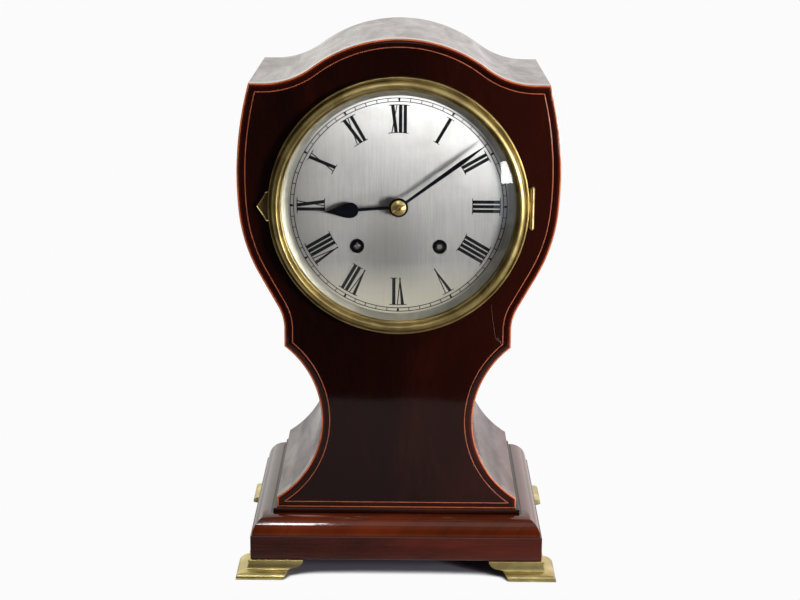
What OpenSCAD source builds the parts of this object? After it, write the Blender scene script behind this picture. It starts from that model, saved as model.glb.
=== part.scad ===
/* [Case] */
// Height of the crown above the table
case_h = 350; // [345:0.5:356]
// Height of the shoulder above the centre of the crown's arc
shoulder_up = 63.6; // [62:0.2:65]
// Depth of the body from the front board to the back edge
case_d = 140; // [136:1:160]
// Radius of the crown's arch
crown_r = 92; // [88:0.5:96]
// Half width at which the top levels out
shoulder_x = 86; // [84:0.5:88]
// Height of the level shoulders
shoulder_z = 321.6; // [319:0.2:323]
// Half width of the body at its widest
bulge_x = 102.6; // [100:0.2:104]
// Height of the widest place
bulge_z = 262; // [258:0.5:266]
// Radius of the long upper side curve
bulge_r = 225; // [215:1:260]
// Angle at which the side turns into the tighter curve
belly_a = 5.6; // [4:0.2:8]
// Radius of the tighter side curve
belly_r = 106; // [102:0.5:112]
// Slope of the straight flank from upright
flank_a = 29; // [27:0.5:31]
// Half width of the neck
neck_x = 73.2; // [71:0.2:75]
// Radius of the curve into the neck
throat_r = 30; // [26:0.5:32]
// Half width of the waist
waist_x = 49.3; // [48:0.1:52]
// Height of the waist
waist_z = 101.8; // [98:0.2:104]
// Radius of the hollow of the waist
waist_r = 63.4; // [61:0.2:66]
// Half width of the body's foot
hem_x = 79; // [77:0.2:81]
// Thickness of the sides and the top
skin = 6; // [4:0.5:8]
// Thickness of the front board
front_t = 9; // [7:0.5:12]
// Thickness of the back board
back_t = 8; // [6:0.5:10]

/* [Inlay] */
// Depth of the inlaid lines and bands
inlay_t = 1; // [0.6:0.1:1.5]
// Width of the light line on the edge
edge_line_w = 1.1; // [0.8:0.1:1.6]
// Width of the dark band at the sides and the top
band_w = 3.8; // [3:0.1:4.6]
// Width of the dark band along the foot
band_low_w = 2.3; // [1.8:0.1:3.4]
// Width of the inner light line
inner_line_w = 0.8; // [0.5:0.1:1.4]

/* [Base] */
// Height of the plinth
plinth_h = 16; // [12:0.5:20]
// How far the plinth stands out beyond the body
plinth_lip = 16.7; // [15:0.1:20]
// Width of the plinth's rails
rail_w = 14; // [12.5:0.5:20]
// Height and reach of the rounded moulding
ovolo_r = 11.6; // [9:0.2:12.5]
// Ledge between the plinth's edge and the moulding
ledge_w = 1.1; // [0.6:0.1:2]
// Height of the thin board under the body
fillet_h = 2.8; // [2:0.1:4]
// How far the thin board stands out beyond the body
fillet_lip = 2.4; // [1.5:0.1:3]

/* [Feet] */
// Height of the brass feet
foot_h = 10.8; // [9:0.2:14]
// How far a foot spreads beyond the plinth
foot_flare = 9.1; // [7:0.1:11]
// Length of each arm of a foot
foot_arm = 34.7; // [32:0.1:38]
// Thickness of a foot's wall
foot_wall = 5; // [4:0.2:6]
// Height of the fillet on top of a foot
foot_cap = 1.2; // [0.8:0.1:1.8]
// Height of the fillet at the bottom of a foot
foot_toe = 1.4; // [1:0.1:2]
// How far an arm's end leans back towards the corner
foot_rake = 12.6; // [9:0.2:15]
// Thickness of the pad inside a foot
pad_t = 2; // [1.5:0.1:3]
// Radius of the foot screws
foot_screw_r = 1.8; // [1.4:0.1:2.2]
// Depth of the foot screws in the plinth
foot_screw_l = 11; // [8:0.5:11.5]

/* [Dial] */
// Height of the dial's centre, for the outline's height of clock
dial_up = 243.9; // [241:0.2:246]
// Radius of the dial plate
dial_r = 76.2; // [75.9:0.1:76.8]
// Thickness of the dial plate
dial_t = 1.5; // [1:0.1:2]
// How far the dial lies behind the front face
dial_sink = 3; // [2.5:0.1:3.6]
// Outer radius of the minute track
track_r = 69; // [67:0.2:70.5]
// Width of the minute track
track_w = 2.7; // [2:0.1:3.4]
// Radius at which the numerals end
numeral_r = 64.7; // [62:0.1:65.5]
// Height of the numerals
numeral_h = 18.7; // [15:0.1:20]
// Thickness of the printed marks
mark_t = 0.1; // [0.06:0.01:0.2]
// Radius of the winding holes
key_hole_r = 4.7; // [4.2:0.1:5.4]

/* [Bezel] */
// Outer radius of the hinged ring
bezel_r = 82.8; // [82:0.1:84]
// Radius of the view through the ring
sight_r = 74.5; // [73.8:0.1:75]
// Height of the ring in front of the face
bezel_h = 8.2; // [7.4:0.1:10]
// Rise of the domed glass
glass_rise = 13; // [6:0.5:14]
// Thickness of the glass
glass_t = 1.8; // [1.5:0.1:2]
// Gap behind the closed ring
bezel_gap = 0.3; // [0.2:0.1:0.4]
// Reach of the pointed finger tab
tab_reach = 7.5; // [5:0.1:9]
// Height of the pointed finger tab
tab_h = 18.8; // [14:0.2:22]
// Length of the hinge at three o'clock
hinge_l = 28.8; // [24:0.4:34]
// Radius of the hinge's knuckles
knuckle_r = 1.5; // [1.3:0.05:1.6]
// Radius of the hinge's pin
hinge_pin_r = 0.7; // [0.5:0.05:0.9]

/* [Hands] */
// Length of the minute hand
minute_l = 69; // [64:0.2:70.5]
// Direction of the minute hand, clockwise from twelve
minute_a = 53.7; // [0:0.1:360]
// Length of the hour hand
hour_l = 49; // [44:0.2:52]
// Direction of the hour hand, clockwise from twelve
hour_a = 265.7; // [0:0.1:360]
// Radius of the hour hand's pear
pear_r = 4.9; // [4:0.1:5.6]
// Distance of the pear from the centre
pear_at = 31; // [28:0.2:34]
// Radius of the hands' bosses
boss_r = 6.1; // [5.6:0.1:6.6]
// Thickness of the hands
hand_t = 0.8; // [0.5:0.05:1]
// Radius of the brass collet
collet_r = 4.8; // [4.2:0.1:5.3]

/* [Back door] */
// Half width of the opening in the back board
door_x = 52; // [46:0.5:54]
// How far the opening reaches below the dial's centre
door_down = 71.9; // [64:0.5:76]
// How far the opening reaches above the dial's centre
door_up = 62.1; // [52:0.5:64]
// Radius of the opening's corners
door_corner = 8; // [5:0.5:12]
// Thickness of the door
door_t = 5.6; // [4:0.1:5.8]
// Gap round the door
door_gap = 0.6; // [0.4:0.1:1]
// Length of a door hinge
door_hinge_l = 22; // [18:0.5:28]
// Radius of the door's knob
knob_r = 5; // [4:0.2:6]

/* [Movement] */
// Half width of the movement's plates
plate_x = 50; // [49.5:0.1:51]
// Half height of the movement's plates
plate_z = 57; // [56.5:0.1:60]
// Thickness of the plates
plate_t = 2.5; // [2:0.1:3]
// Distance between the plates
pillar_l = 34; // [33.5:0.1:36]
// Radius of the pillars
pillar_r = 3.5; // [3:0.1:3.8]
// How far the front plate lies behind the front face
plate_at = 22; // [21.6:0.1:24]
// Sideways distance of the winding squares from the centre
key_x = 26.3; // [26:0.1:26.8]
// Distance of the winding squares below the centre
key_z = 26.2; // [25.8:0.1:26.6]
// Width of the winding squares
key_square = 3.3; // [3:0.1:3.6]
// Clearance of pivots in their holes
fit = 0.05; // [0.03:0.01:0.08]
// Thickness of the wheels
wheel_t = 1.5; // [1.2:0.1:1.8]
// Radius of the spring barrels
barrel_r = 22; // [20:0.1:22.4]
// Height of the spring barrels
barrel_h = 19; // [17:0.1:19.4]

/* [Trains] */
// Tooth size of the barrel wheels
great_m = 0.8; // [0.796:0.001:0.804]
// Tooth size of the intermediate wheel
inter_m = 0.6; // [0.596:0.001:0.604]
// Tooth size of the centre wheel
centre_m = 0.42; // [0.418:0.001:0.424]
// Tooth size of the third wheel
third_m = 0.4; // [0.396:0.001:0.404]
// Radius of the escape wheel
escape_r = 12; // [11.5:0.1:12.4]
// Tooth size of the motion work
motion_m = 0.65; // [0.645:0.001:0.655]

/* [Pendulum] */
// Height of the swing axis above the dial's centre
swing_z = 50; // [49.5:0.1:51]
// Distance from the swing axis to the bob's centre
pendulum_l = 120; // [112:0.5:122]
// Radius of the bob
bob_r = 17; // [14:0.2:20]
// Thickness of the bob
bob_t = 9; // [7:0.2:11]

/* [Gong] */
// Outer radius of the gong's coil
coil_r = 36; // [34:0.2:37]
// Thickness of the gong's wire
wire_d = 3; // [2.4:0.1:3.4]
// Distance from turn to turn
coil_pitch = 5.5; // [5:0.1:5.7]
// Turns of the coil
coil_n = 4; // [3:1:4]
// How far the coil's centre lies below the waist
coil_down = 3.8; // [2:0.2:6]
// Depth of the coil behind the front face
coil_at = 92; // [90:0.5:95]

/* [Hidden] */
$fn = 72;
fine = 360;
eps = 0.01;
total_d = case_d + plinth_lip + 2 * foot_flare;
front = plinth_lip + foot_flare - total_d / 2;
rear = front + case_d;
plinth_top = foot_h + plinth_h;
board_top = plinth_top + ovolo_r;
body_low = board_top + fillet_h;
crown_z = shoulder_z - shoulder_up;
outline_k = case_h / (crown_z + crown_r);
dial_z = outline_k * dial_up;
door_low = dial_z - door_down;
door_high = dial_z + door_up;
coil_z = outline_k * waist_z - coil_down;
body_x = outline_k * hem_x;
plinth_x = body_x + plinth_lip;
plinth_front = front - plinth_lip;
mahogany = "#3a120c";
redwood = "#5a1a0c";
boxwood = "#c8783a";
brass = "#c9a24a";
steel = "#8c9096";

// Centres and tangent directions of the arcs in the body's outline, at the outline's own height
crown_c = [0, crown_z];
sweep_r = (pow(shoulder_x, 2) + pow(shoulder_up, 2) - pow(crown_r, 2)) / (2 * (crown_r - shoulder_up));
sweep_c = [shoulder_x, shoulder_z + sweep_r];
crown_a = atan2(sweep_c[1] - crown_c[1], sweep_c[0] - crown_c[0]);
bulge_c = [bulge_x - bulge_r, bulge_z];
belly_c = bulge_c + (bulge_r - belly_r) * [cos(belly_a), -sin(belly_a)];
flank_c = belly_c + belly_r * [cos(flank_a), -sin(flank_a)];
throat_x = neck_x + throat_r;
throat_z = flank_c[1] + ((throat_x - flank_c[0]) * cos(flank_a) - throat_r) / sin(flank_a);
waist_c = [waist_x + waist_r, waist_z];

// Points along an arc, both ends included, at most six degrees apart
function arc(c, r, a0, a1, step = 6) =
    let (n = ceil(abs(a1 - a0) / step))
    [for (i = [0:n]) c + r * [cos(a0 + (a1 - a0) * i / n), sin(a0 + (a1 - a0) * i / n)]];
function reverse(v) = [for (i = [len(v) - 1:-1:0]) v[i]];
function mirrored(v) = [for (p = reverse(v)) [-p[0], p[1]]];
// Angle on the long side curve at which it meets the shoulder
function corner_a(d) = asin((shoulder_z - d - bulge_z) / (bulge_r - d));
// The right half of the top, from the centre to the shoulder's corner
function top_half(inset) =
    let (d = inset / outline_k)
    outline_k * concat(
        arc(crown_c, crown_r - d, 90, crown_a),
        arc(sweep_c, sweep_r + d, 180 + crown_a + 6, 270),
        [bulge_c + (bulge_r - d) * [cos(corner_a(d)), sin(corner_a(d))]]
    );
// Angles at which the hollow of the waist starts, and ends in the upright foot or on the low edge
function waist_top(d) = 180 - acos((waist_c[0] - neck_x + d) / (waist_r + d));
function waist_foot(d) = 180 + acos((waist_c[0] - hem_x + d) / (waist_r + d));
function waist_low(d, low) = 180 + asin(min(1, (waist_z - low) / (waist_r + d)));
// The right side from the shoulder's corner down to the foot
function side_line(inset, foot) =
    let (d = inset / outline_k, low = foot / outline_k)
    outline_k * concat(
        arc(bulge_c, bulge_r - d, corner_a(d), -belly_a, 3),
        arc(belly_c, belly_r - d, -belly_a - 4, -flank_a, 4),
        arc([throat_x, throat_z], throat_r + d, 180 - flank_a, 180),
        arc(waist_c, waist_r + d, waist_top(d), min(waist_foot(d), waist_low(d, low))),
        waist_foot(d) < waist_low(d, low) ? [[hem_x - d, low]] : []
    );
function whole_line(inset, foot) =
    let (
        top = top_half(inset),
        right = concat([for (i = [0:len(top) - 2]) top[i]], side_line(inset, foot))
    )
    concat(right, [for (i = [0:len(right) - 2]) mirrored(right)[i]]);
function rounded(x, z0, z1, r) = concat(
    arc([x - r, z1 - r], r, 90, 0, 15),
    arc([x - r, z0 + r], r, 0, -90, 15),
    arc([r - x, z0 + r], r, 270, 180, 15),
    arc([r - x, z1 - r], r, 180, 90, 15)
);

// A shape drawn in x and z, standing upright and reaching back from y
module slab(y, t) {
    translate([0, y + t, 0]) rotate([90, 0, 0]) linear_extrude(t) children();
}
// The same for the dial and the movement, whose depths count from the front face
module at_dial(depth, t) {
    translate([0, 0, dial_z]) slab(front + depth, t) children();
}
// A round bar along y
module bar(p, r, depth, t) {
    translate([p[0], front + depth + t, dial_z + p[1]]) rotate([90, 0, 0]) cylinder(r = r, h = t);
}
// A profile of radius and forward reach, turned round the dial's axis
module turned() {
    translate([0, front, dial_z]) rotate([90, 0, 0]) rotate_extrude() children();
}

module front_board() {
    color(mahogany) difference() {
        slab(front, front_t) polygon(whole_line(0, body_low));
        slab(front - eps, inlay_t + eps) difference() {
            polygon(whole_line(-1, body_low - 1));
            polygon(whole_line(inlay_in, body_low + inlay_low));
        }
        bar([0, 0], dial_r + fit, -1, dial_sink + dial_t + 1);
        bar([0, 0], board_hole_r, 0, front_t + 1);
        for (p = bracket_p) bar(foot_of(p), screw_r, front_t - wood_screw_l, wood_screw_l + 1);
    }
}
board_hole_r = dial_r - 6;
wood_screw_l = 4;
line_in = edge_line_w;
band_in = line_in + band_w;
inlay_in = band_in + inner_line_w;
band_low = edge_line_w + band_low_w;
inlay_low = band_low + inner_line_w;

module inlay(d0, low0, d1, low1) {
    slab(front, inlay_t) difference() {
        polygon(whole_line(d0, body_low + low0));
        polygon(whole_line(d1, body_low + low1));
    }
}
module crossbanding() {
    color("#4a100a") inlay(line_in, edge_line_w, band_in, band_low);
}
module edge_stringing() {
    color(boxwood) inlay(0, 0, line_in, edge_line_w);
}
module inner_stringing() {
    color(boxwood) inlay(band_in, band_low, inlay_in, inlay_low);
}

module right_side() {
    color(mahogany) slab(front + front_t, case_d - front_t)
        polygon(concat(side_line(0, body_low), reverse(side_line(skin, body_low))));
}
module left_side() {
    color(mahogany) mirror([1, 0, 0]) right_side();
}
module top_panel() {
    outer = concat(mirrored(top_half(0)), [for (i = [1:len(top_half(0)) - 1]) top_half(0)[i]]);
    inner = concat(mirrored(top_half(skin)), [for (i = [1:len(top_half(skin)) - 1]) top_half(skin)[i]]);
    color(mahogany) slab(front + front_t, case_d - front_t) polygon(concat(outer, reverse(inner)));
}
// The opening is rebated, so that a lip stops the door
door_lip = 3;
door_rest = 0.3;
rebate_t = back_t - door_t - door_rest;
module back_board() {
    color(mahogany) difference() {
        slab(rear - back_t, back_t) polygon(whole_line(skin, body_low));
        slab(rear - back_t + rebate_t, back_t)
            polygon(rounded(door_x, door_low, door_high, door_corner));
        slab(rear - back_t - 1, back_t) polygon(rounded(
            door_x - door_lip, door_low + door_lip, door_high - door_lip, door_corner - door_lip
        ));
    }
}

core_x = plinth_x - ledge_w - ovolo_r;
core_front = plinth_front + ledge_w + ovolo_r;
module base_board() {
    w = body_x + fillet_lip;
    color(mahogany) {
        translate([-core_x, core_front, plinth_top]) cube([2 * core_x, rear - core_front, ovolo_r]);
        translate([-w, front - fillet_lip, board_top]) cube([2 * w, case_d + fillet_lip, fillet_h]);
    }
}
// A quarter round along the front and both sides, mitred at the corners
module base_moulding() {
    out_x = core_x + ovolo_r;
    out_y = core_front - ovolo_r;
    color(redwood) difference() {
        translate([-out_x, out_y, plinth_top]) cube([2 * out_x, rear - out_y, ovolo_r]);
        translate([-core_x, core_front, plinth_top - 1])
            cube([2 * core_x, rear - core_front + 1, ovolo_r + 2]);
        translate([-out_x - 1, core_front, plinth_top]) rotate([90, 0, 90])
            linear_extrude(2 * out_x + 2) round_waste();
        for (side = [-1, 1]) translate([side * core_x, rear + 1, plinth_top]) rotate([90, 0, 0])
            linear_extrude(rear - out_y + 2) flip([1, 0, 0], side > 0) round_waste();
    }
}
// What is planed off a square strip, seen along it, to leave the quarter round
module round_waste() {
    difference() {
        translate([-ovolo_r - 1, 0]) square(ovolo_r + 1);
        circle(ovolo_r);
    }
}
screw_in = rail_w - 4.5;
head_h = 1.6;
module plinth() {
    depth = rear - plinth_front;
    color(redwood) difference() {
        translate([-plinth_x, plinth_front, foot_h]) cube([2 * plinth_x, depth, plinth_h]);
        translate([rail_w - plinth_x, plinth_front + rail_w, foot_h - 1])
            cube([2 * (plinth_x - rail_w), depth - 2 * rail_w, plinth_h + 2]);
        foot_places() translate([-screw_in, screw_in, -1]) cylinder(r = foot_screw_r, h = foot_screw_l + 1);
    }
}

module flip(v, on) {
    if (on) mirror(v) children();
    else children();
}
// Each foot is drawn at the front right corner of the plinth and mirrored to the others
module foot_places(which = [0, 1, 2, 3]) {
    for (k = which)
        translate([0, (plinth_front + rear) / 2, 0])
            flip([1, 0, 0], k % 2 == 0)
                flip([0, 1, 0], k > 1)
                    translate([plinth_x, -(rear - plinth_front) / 2, foot_h])
                        children();
}
// Half an ogee: a hollow over a swelling, reaching out by a and down by b
function ogee(a, b) = concat(
    [for (t = [0:15:90]) [a / 2 * (1 - cos(t)), -b / 2 * sin(t)]],
    [for (t = [15:15:90]) [a / 2 * (1 + sin(t)), -b / 2 * (2 - cos(t))]]
);
foot_face = concat(
    [[-foot_arm * 2, 0], [foot_cap, 0], [foot_cap, -foot_cap]],
    [for (p = ogee(foot_flare - foot_cap, foot_h - foot_cap - foot_toe)) p + [foot_cap, -foot_cap]],
    [[foot_flare, foot_toe - foot_h], [foot_flare, -foot_h], [-foot_arm * 2, -foot_h]]
);
module foot() {
    color(brass) difference() {
        intersection() {
            translate([0, foot_arm + 1, 0]) rotate([90, 0, 0]) linear_extrude(foot_arm + foot_flare + 2)
                polygon(foot_face);
            translate([-foot_arm - 1, 0, 0]) rotate([90, 0, 90]) mirror([1, 0, 0])
                linear_extrude(foot_arm + foot_flare + 2) polygon(foot_face);
            union() {
                translate([-foot_arm, -foot_flare - 1, -foot_h])
                    cube([foot_arm + foot_flare + 1, foot_wall + foot_flare + 1, foot_h]);
                translate([-foot_wall, -foot_flare - 1, -foot_h])
                    cube([foot_wall + foot_flare + 1, foot_arm + foot_flare + 1, foot_h]);
                translate([-pad_w, 0, -pad_t]) cube([pad_w, pad_w, pad_t]);
            }
        }
        translate([0, foot_wall + 1, 0]) rotate([90, 0, 0]) linear_extrude(foot_wall + foot_flare + 3)
            polygon(arm_cut);
        translate([-foot_wall - 1, 0, 0]) rotate([90, 0, 90]) mirror([1, 0, 0])
            linear_extrude(foot_wall + foot_flare + 3) polygon(arm_cut);
        translate([-screw_in, screw_in, -foot_h]) cylinder(r = foot_screw_r + fit, h = foot_h + 1);
    }
}
pad_w = screw_in + 7;
// The shaped end of an arm, seen from the front: the waste below the curve
arm_cut = concat(
    [[-foot_arm - 2, 1], [-foot_arm - 2, -foot_h - 1], [foot_rake - foot_arm, -foot_h - 1]],
    [for (p = reverse(ogee(foot_rake, foot_h))) [p[0] - foot_arm, p[1]]]
);
module foot_front_left() {
    foot_places([0]) foot();
}
module foot_front_right() {
    foot_places([1]) foot();
}
module foot_back_left() {
    foot_places([2]) foot();
}
module foot_back_right() {
    foot_places([3]) foot();
}
module foot_screws() {
    color(brass) foot_places() translate([-screw_in, screw_in, 0]) {
        translate([0, 0, -pad_t]) cylinder(r = foot_screw_r, h = foot_screw_l + pad_t);
        translate([0, 0, -pad_t - head_h]) cylinder(r = foot_screw_r * 1.9, h = head_h);
    }
}

// The door hangs at the right, seen from the front, on two small hinges
door_knuckle_r = 1.3;
door_pin_r = 0.6;
door_leaf_t = 0.9;
door_leaf_w = 9;
door_axis_x = door_x - door_gap / 2;
door_axis_y = rear + door_knuckle_r + 0.3;
door_hinge_z = [door_low + 24, door_high - 24 - door_hinge_l];
module back_door() {
    w = door_x - door_gap;
    color(mahogany) difference() {
        slab(rear - door_t, door_t)
            polygon(rounded(w, door_low + door_gap, door_high - door_gap, door_corner - door_gap));
        knob_at(-door_t - 1) cylinder(r = spindle_r + fit, h = door_t + 2);
    }
}
module door_hinge_plates() {
    third = door_hinge_l / 3;
    color(brass) for (z = door_hinge_z) {
        difference() {
            union() {
                translate([door_axis_x, rear, z]) cube([door_leaf_w, door_leaf_t, door_hinge_l]);
                for (k = [0, 2]) translate([door_axis_x, door_axis_y, z + k * third])
                    cylinder(r = door_knuckle_r, h = third);
            }
            translate([door_axis_x - 3, rear - 1, z + third - 0.1]) cube([6, 6, third + 0.2]);
        }
        translate([door_axis_x, door_axis_y, z]) cylinder(r = door_pin_r, h = door_hinge_l);
    }
}
module door_hinge_leaves() {
    third = door_hinge_l / 3;
    color(brass) for (z = door_hinge_z) difference() {
        union() {
            translate([door_axis_x - door_leaf_w, rear, z]) cube([door_leaf_w, door_leaf_t, door_hinge_l]);
            translate([door_axis_x, door_axis_y, z + third + 0.1])
                cylinder(r = door_knuckle_r, h = third - 0.2);
        }
        for (k = [-1, 2]) translate([door_axis_x - door_knuckle_r - 0.4, rear - 1, z + k * third - 0.1])
            cube([6, 6, third * (k < 0 ? 2 : 1) + 0.2]);
        translate([door_axis_x, door_axis_y, z - 1]) cylinder(r = door_pin_r + fit, h = door_hinge_l + 2);
    }
}
// A turning knob, whose tongue grips behind the lip of the opening
spindle_r = 1.6;
tongue_l = 12;
module knob_at(back) {
    translate([10 - door_x, rear + back, (door_low + door_high) / 2]) rotate([-90, 0, 0]) children();
}
module door_knob() {
    inner = back_t + door_rest + 1.6;
    color(brass) {
        knob_at(0) rotate_extrude() polygon(concat(
            [[0, 0], [knob_r * 0.8, 0], [knob_r * 0.8, 1], [knob_r * 0.4, 1.8], [knob_r * 0.4, 3.4]],
            arc([knob_r - 2, 5.4], 2, -60, 90, 15),
            [[0, 7.4]]
        ));
        knob_at(-inner) cylinder(r = spindle_r, h = inner + 1);
        knob_at(-inner) translate([-2.4, -tongue_l, 0]) cube([4.8, tongue_l + 2.4, 1.6]);
    }
}

// The fixed ring under the bezel, with a skirt that holds the dial
seat_t = 0.9;
module bezel_seat() {
    color(brass) turned() polygon([
        [sight_r + 0.4, seat_t],
        [bezel_r - 0.8, seat_t],
        [bezel_r - 0.8, 0],
        [dial_r, 0],
        [dial_r, -dial_sink],
        [sight_r + 0.4, -dial_sink],
    ]);
}
// The dial stands on the movement's front plate with four feet
dial_foot = [0.64 * plate_x, 0.8 * plate_z];
module dial_plate() {
    color("#c9cbcb") {
        difference() {
            bar([0, 0], dial_r, dial_sink, dial_t);
            bar([0, 0], hour_pipe_r + 1.2, dial_sink - 1, dial_t + 2);
            for (side = [-1, 1]) bar([side * key_x, -key_z], key_hole_r, dial_sink - 1, dial_t + 2);
        }
        for (x = [-1, 1], z = [-1, 1])
            bar([x * dial_foot[0], z * dial_foot[1]], 2, dial_sink + dial_t, plate_at - dial_sink - dial_t);
    }
}
numerals = ["XII", "I", "II", "III", "IIII", "V", "VI", "VII", "VIII", "IX", "X", "XI"];
bar_w = numeral_h * 0.107;
hair_w = numeral_h * 0.03;
serif_h = numeral_h * 0.026;
function advance(c) = numeral_h * (c == "I" ? 0.158 : c == "V" ? 0.29 : 0.25);
function width_to(s, k) = k == 0 ? 0 : advance(s[k - 1]) + width_to(s, k - 1);
module serif(x, y, w) {
    translate([x - w / 2, y == 0 ? 0 : numeral_h - serif_h]) square([w, serif_h]);
}
module leg(x0, x1, w) {
    polygon([[x0 - w / 2, 0], [x0 + w / 2, 0], [x1 + w / 2, numeral_h], [x1 - w / 2, numeral_h]]);
}
module letter(c) {
    a = advance(c);
    s = bar_w * 1.75;
    if (c == "I") {
        leg(a / 2, a / 2, bar_w);
        serif(a / 2, 0, s);
        serif(a / 2, 1, s);
    }
    if (c == "V") {
        leg(a * 0.52, a * 0.22, bar_w);
        leg(a * 0.52, a * 0.84, hair_w);
        serif(a * 0.2, 1, s);
        serif(a * 0.84, 1, s * 0.7);
    }
    if (c == "X") {
        leg(a * 0.78, a * 0.22, bar_w);
        leg(a * 0.18, a * 0.82, hair_w);
        serif(a * 0.2, 1, s);
        serif(a * 0.82, 1, s * 0.7);
        serif(a * 0.8, 0, s);
        serif(a * 0.18, 0, s * 0.7);
    }
}
module numeral(s) {
    for (k = [0:len(s) - 1])
        translate([width_to(s, k) - width_to(s, len(s)) / 2, 0]) letter(s[k]);
}
line_w = 0.28;
module track_ring(r) {
    difference() {
        circle(r);
        circle(r - line_w);
    }
}
module dial_markings() {
    color("#15161c") at_dial(dial_sink - mark_t, mark_t) {
        for (h = [0:11]) rotate(-30 * h) translate([0, numeral_r - numeral_h]) numeral(numerals[h]);
        track_ring(track_r);
        track_ring(track_r - track_w + line_w);
        for (k = [0:59]) rotate(-6 * k) {
            w = k % 5 == 0 ? 1.1 : line_w;
            translate([-w / 2, track_r - track_w + line_w / 2]) square([w, track_w - line_w]);
        }
    }
}

// The bezel's section, from its back face round to the glass
bezel_back = seat_t + bezel_gap;
lip_f = bezel_back + 3.3;
bore_r = sight_r + 2;
band_mid = (bore_r + bezel_r - 2.6) / 2;
band_half = (bezel_r - 2.6 - bore_r) / 2 + 0.3;
module bezel_ring() {
    base_f = lip_f + 0.5;
    color(brass) turned() polygon(concat(
        [[bore_r, bezel_back], [bezel_r, bezel_back], [bezel_r, bezel_back + 1.9]],
        arc([bezel_r - 0.7, bezel_back + 1.9], 0.7, 0, 180, 30),
        [[bezel_r - 1.6, bezel_back + 1.3], [bezel_r - 2, bezel_back + 1.3]],
        [for (t = [0:15:180]) [band_mid + band_half * cos(t), base_f + (bezel_h - base_f) * sin(t)]],
        [[sight_r + 0.9, base_f], [sight_r + 0.5, base_f + 0.4], [sight_r, base_f + 0.1]],
        [[sight_r, lip_f], [bore_r, lip_f]]
    ));
}
glass_r = bore_r - 0.1;
glass_edge = lip_f - 0.7;
glass_ball = (pow(glass_r, 2) + pow(glass_rise, 2)) / (2 * glass_rise);
module bezel_glass() {
    color([0.85, 0.9, 0.9, 0.3]) intersection() {
        translate([0, front - glass_edge - glass_rise + glass_ball, dial_z]) difference() {
            sphere(glass_ball, $fn = fine);
            sphere(glass_ball - glass_t, $fn = fine);
        }
        bar([0, 0], glass_r, -glass_edge - glass_rise - 1, glass_rise + glass_t + 1.5, $fn = fine);
    }
}
module glass_retainer() {
    color(brass) turned() polygon([
        [sight_r + 0.6, bezel_back],
        [bore_r, bezel_back],
        [bore_r, glass_edge - glass_t - 0.1],
        [sight_r + 0.6, glass_edge - glass_t - 0.1],
    ]);
}
tab_f = bezel_back + 0.1;
module bezel_tab() {
    color(brass) difference() {
        at_dial(-tab_f - 1.2, 1.2) polygon(concat(
            [
                for (t = [-1:0.125:1])
                    [-bezel_r + 0.6 - (tab_reach + 0.6) * pow(1 - abs(t), 1.5), t * tab_h / 2]
            ],
            [[-bezel_r + 3, tab_h / 2], [-bezel_r + 3, -tab_h / 2]]
        ));
        bar([0, 0], bezel_r, -tab_f - 2, 3, $fn = fine);
    }
}
hinge_x = bezel_r + knuckle_r + 0.3;
hinge_f = knuckle_r + 1.1;
knuckle_l = (hinge_l - 2 * knuckle_r) / 3;
module hinge_part(z, r, h) {
    translate([hinge_x, front - hinge_f, dial_z + z]) cylinder(r = r, h = h);
}
module bezel_hinge_plate() {
    color(brass) {
        for (side = [-1, 1]) {
            low = side > 0 ? knuckle_l / 2 : -1.5 * knuckle_l;
            hinge_part(low, knuckle_r, knuckle_l);
            translate([hinge_x, front - hinge_f, dial_z + side * 1.5 * knuckle_l]) sphere(knuckle_r * 0.8);
            difference() {
                translate([bezel_r - 1.4, front - seat_t, dial_z + low])
                    cube([hinge_x - bezel_r + 1.4 + knuckle_r, seat_t, knuckle_l]);
                bar([0, 0], bezel_r - 0.8, -seat_t - 1, seat_t + 2, $fn = fine);
            }
            translate([hinge_x - 0.6, front - hinge_f, dial_z + low]) cube([1.2, hinge_f, knuckle_l]);
        }
        hinge_part(-knuckle_l, hinge_pin_r, 2 * knuckle_l);
    }
}
module bezel_hinge_leaf() {
    l = knuckle_l - 0.4;
    color(brass) difference() {
        union() {
            hinge_part(-l / 2, knuckle_r, l);
            translate([bezel_r - 1, front - bezel_back - 1.7, dial_z - l / 2])
                cube([hinge_x - bezel_r + 1, 1.5, l]);
        }
        bar([0, 0], bezel_r, -8, 10, $fn = fine);
        hinge_part(-l, hinge_pin_r + fit, 2 * l);
    }
}

// Depths in front of the plates and the radii of the pipes on the centre line
centre_r = 1.5;
tip_r = 1.2;
cannon_r = 2.6;
hour_pipe_r = 4;
hour_f = 0;
minute_f = hour_f + hand_t + 1.2;
hand_top = minute_f + hand_t;
module minute_hand() {
    color("#0c0e14") translate([0, front - minute_f, dial_z]) rotate([90, 0, 0]) rotate([0, 0, -minute_a])
        difference() {
            union() {
                cylinder(r = boss_r, h = hand_t);
                linear_extrude(hand_t) polygon([
                    [-0.9, boss_r - 1],
                    [-1.45, minute_l * 0.71],
                    [0, minute_l],
                    [1.45, minute_l * 0.71],
                    [0.9, boss_r - 1],
                ]);
            }
            translate([0, 0, -1]) cylinder(r = cannon_r, h = hand_t + 2);
        }
}
function pear_w(s) = pear_r * pow(cos(90 * s), 2) + 0.12 * (1 - s);
pear_edge = concat(
    arc([0, pear_at], pear_r, -70, 0, 10),
    [for (s = [0.1:0.1:1]) [pear_w(s), pear_at + s * (hour_l - pear_at)]]
);
module hour_hand() {
    color("#0c0e14") at_dial(-hour_f - hand_t, hand_t) rotate(-hour_a) difference() {
        union() {
            circle(boss_r - 0.2);
            translate([-0.95, 0]) square([1.9, pear_at]);
            polygon(concat(pear_edge, mirrored(pear_edge)));
        }
        circle(hour_pipe_r);
    }
}
collet_h = 2.4;
collet_f = hand_top + 0.05;
pin_r = 0.5;
pin_l = 9.2;
pin_f = collet_f + collet_h + pin_r;
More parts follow.
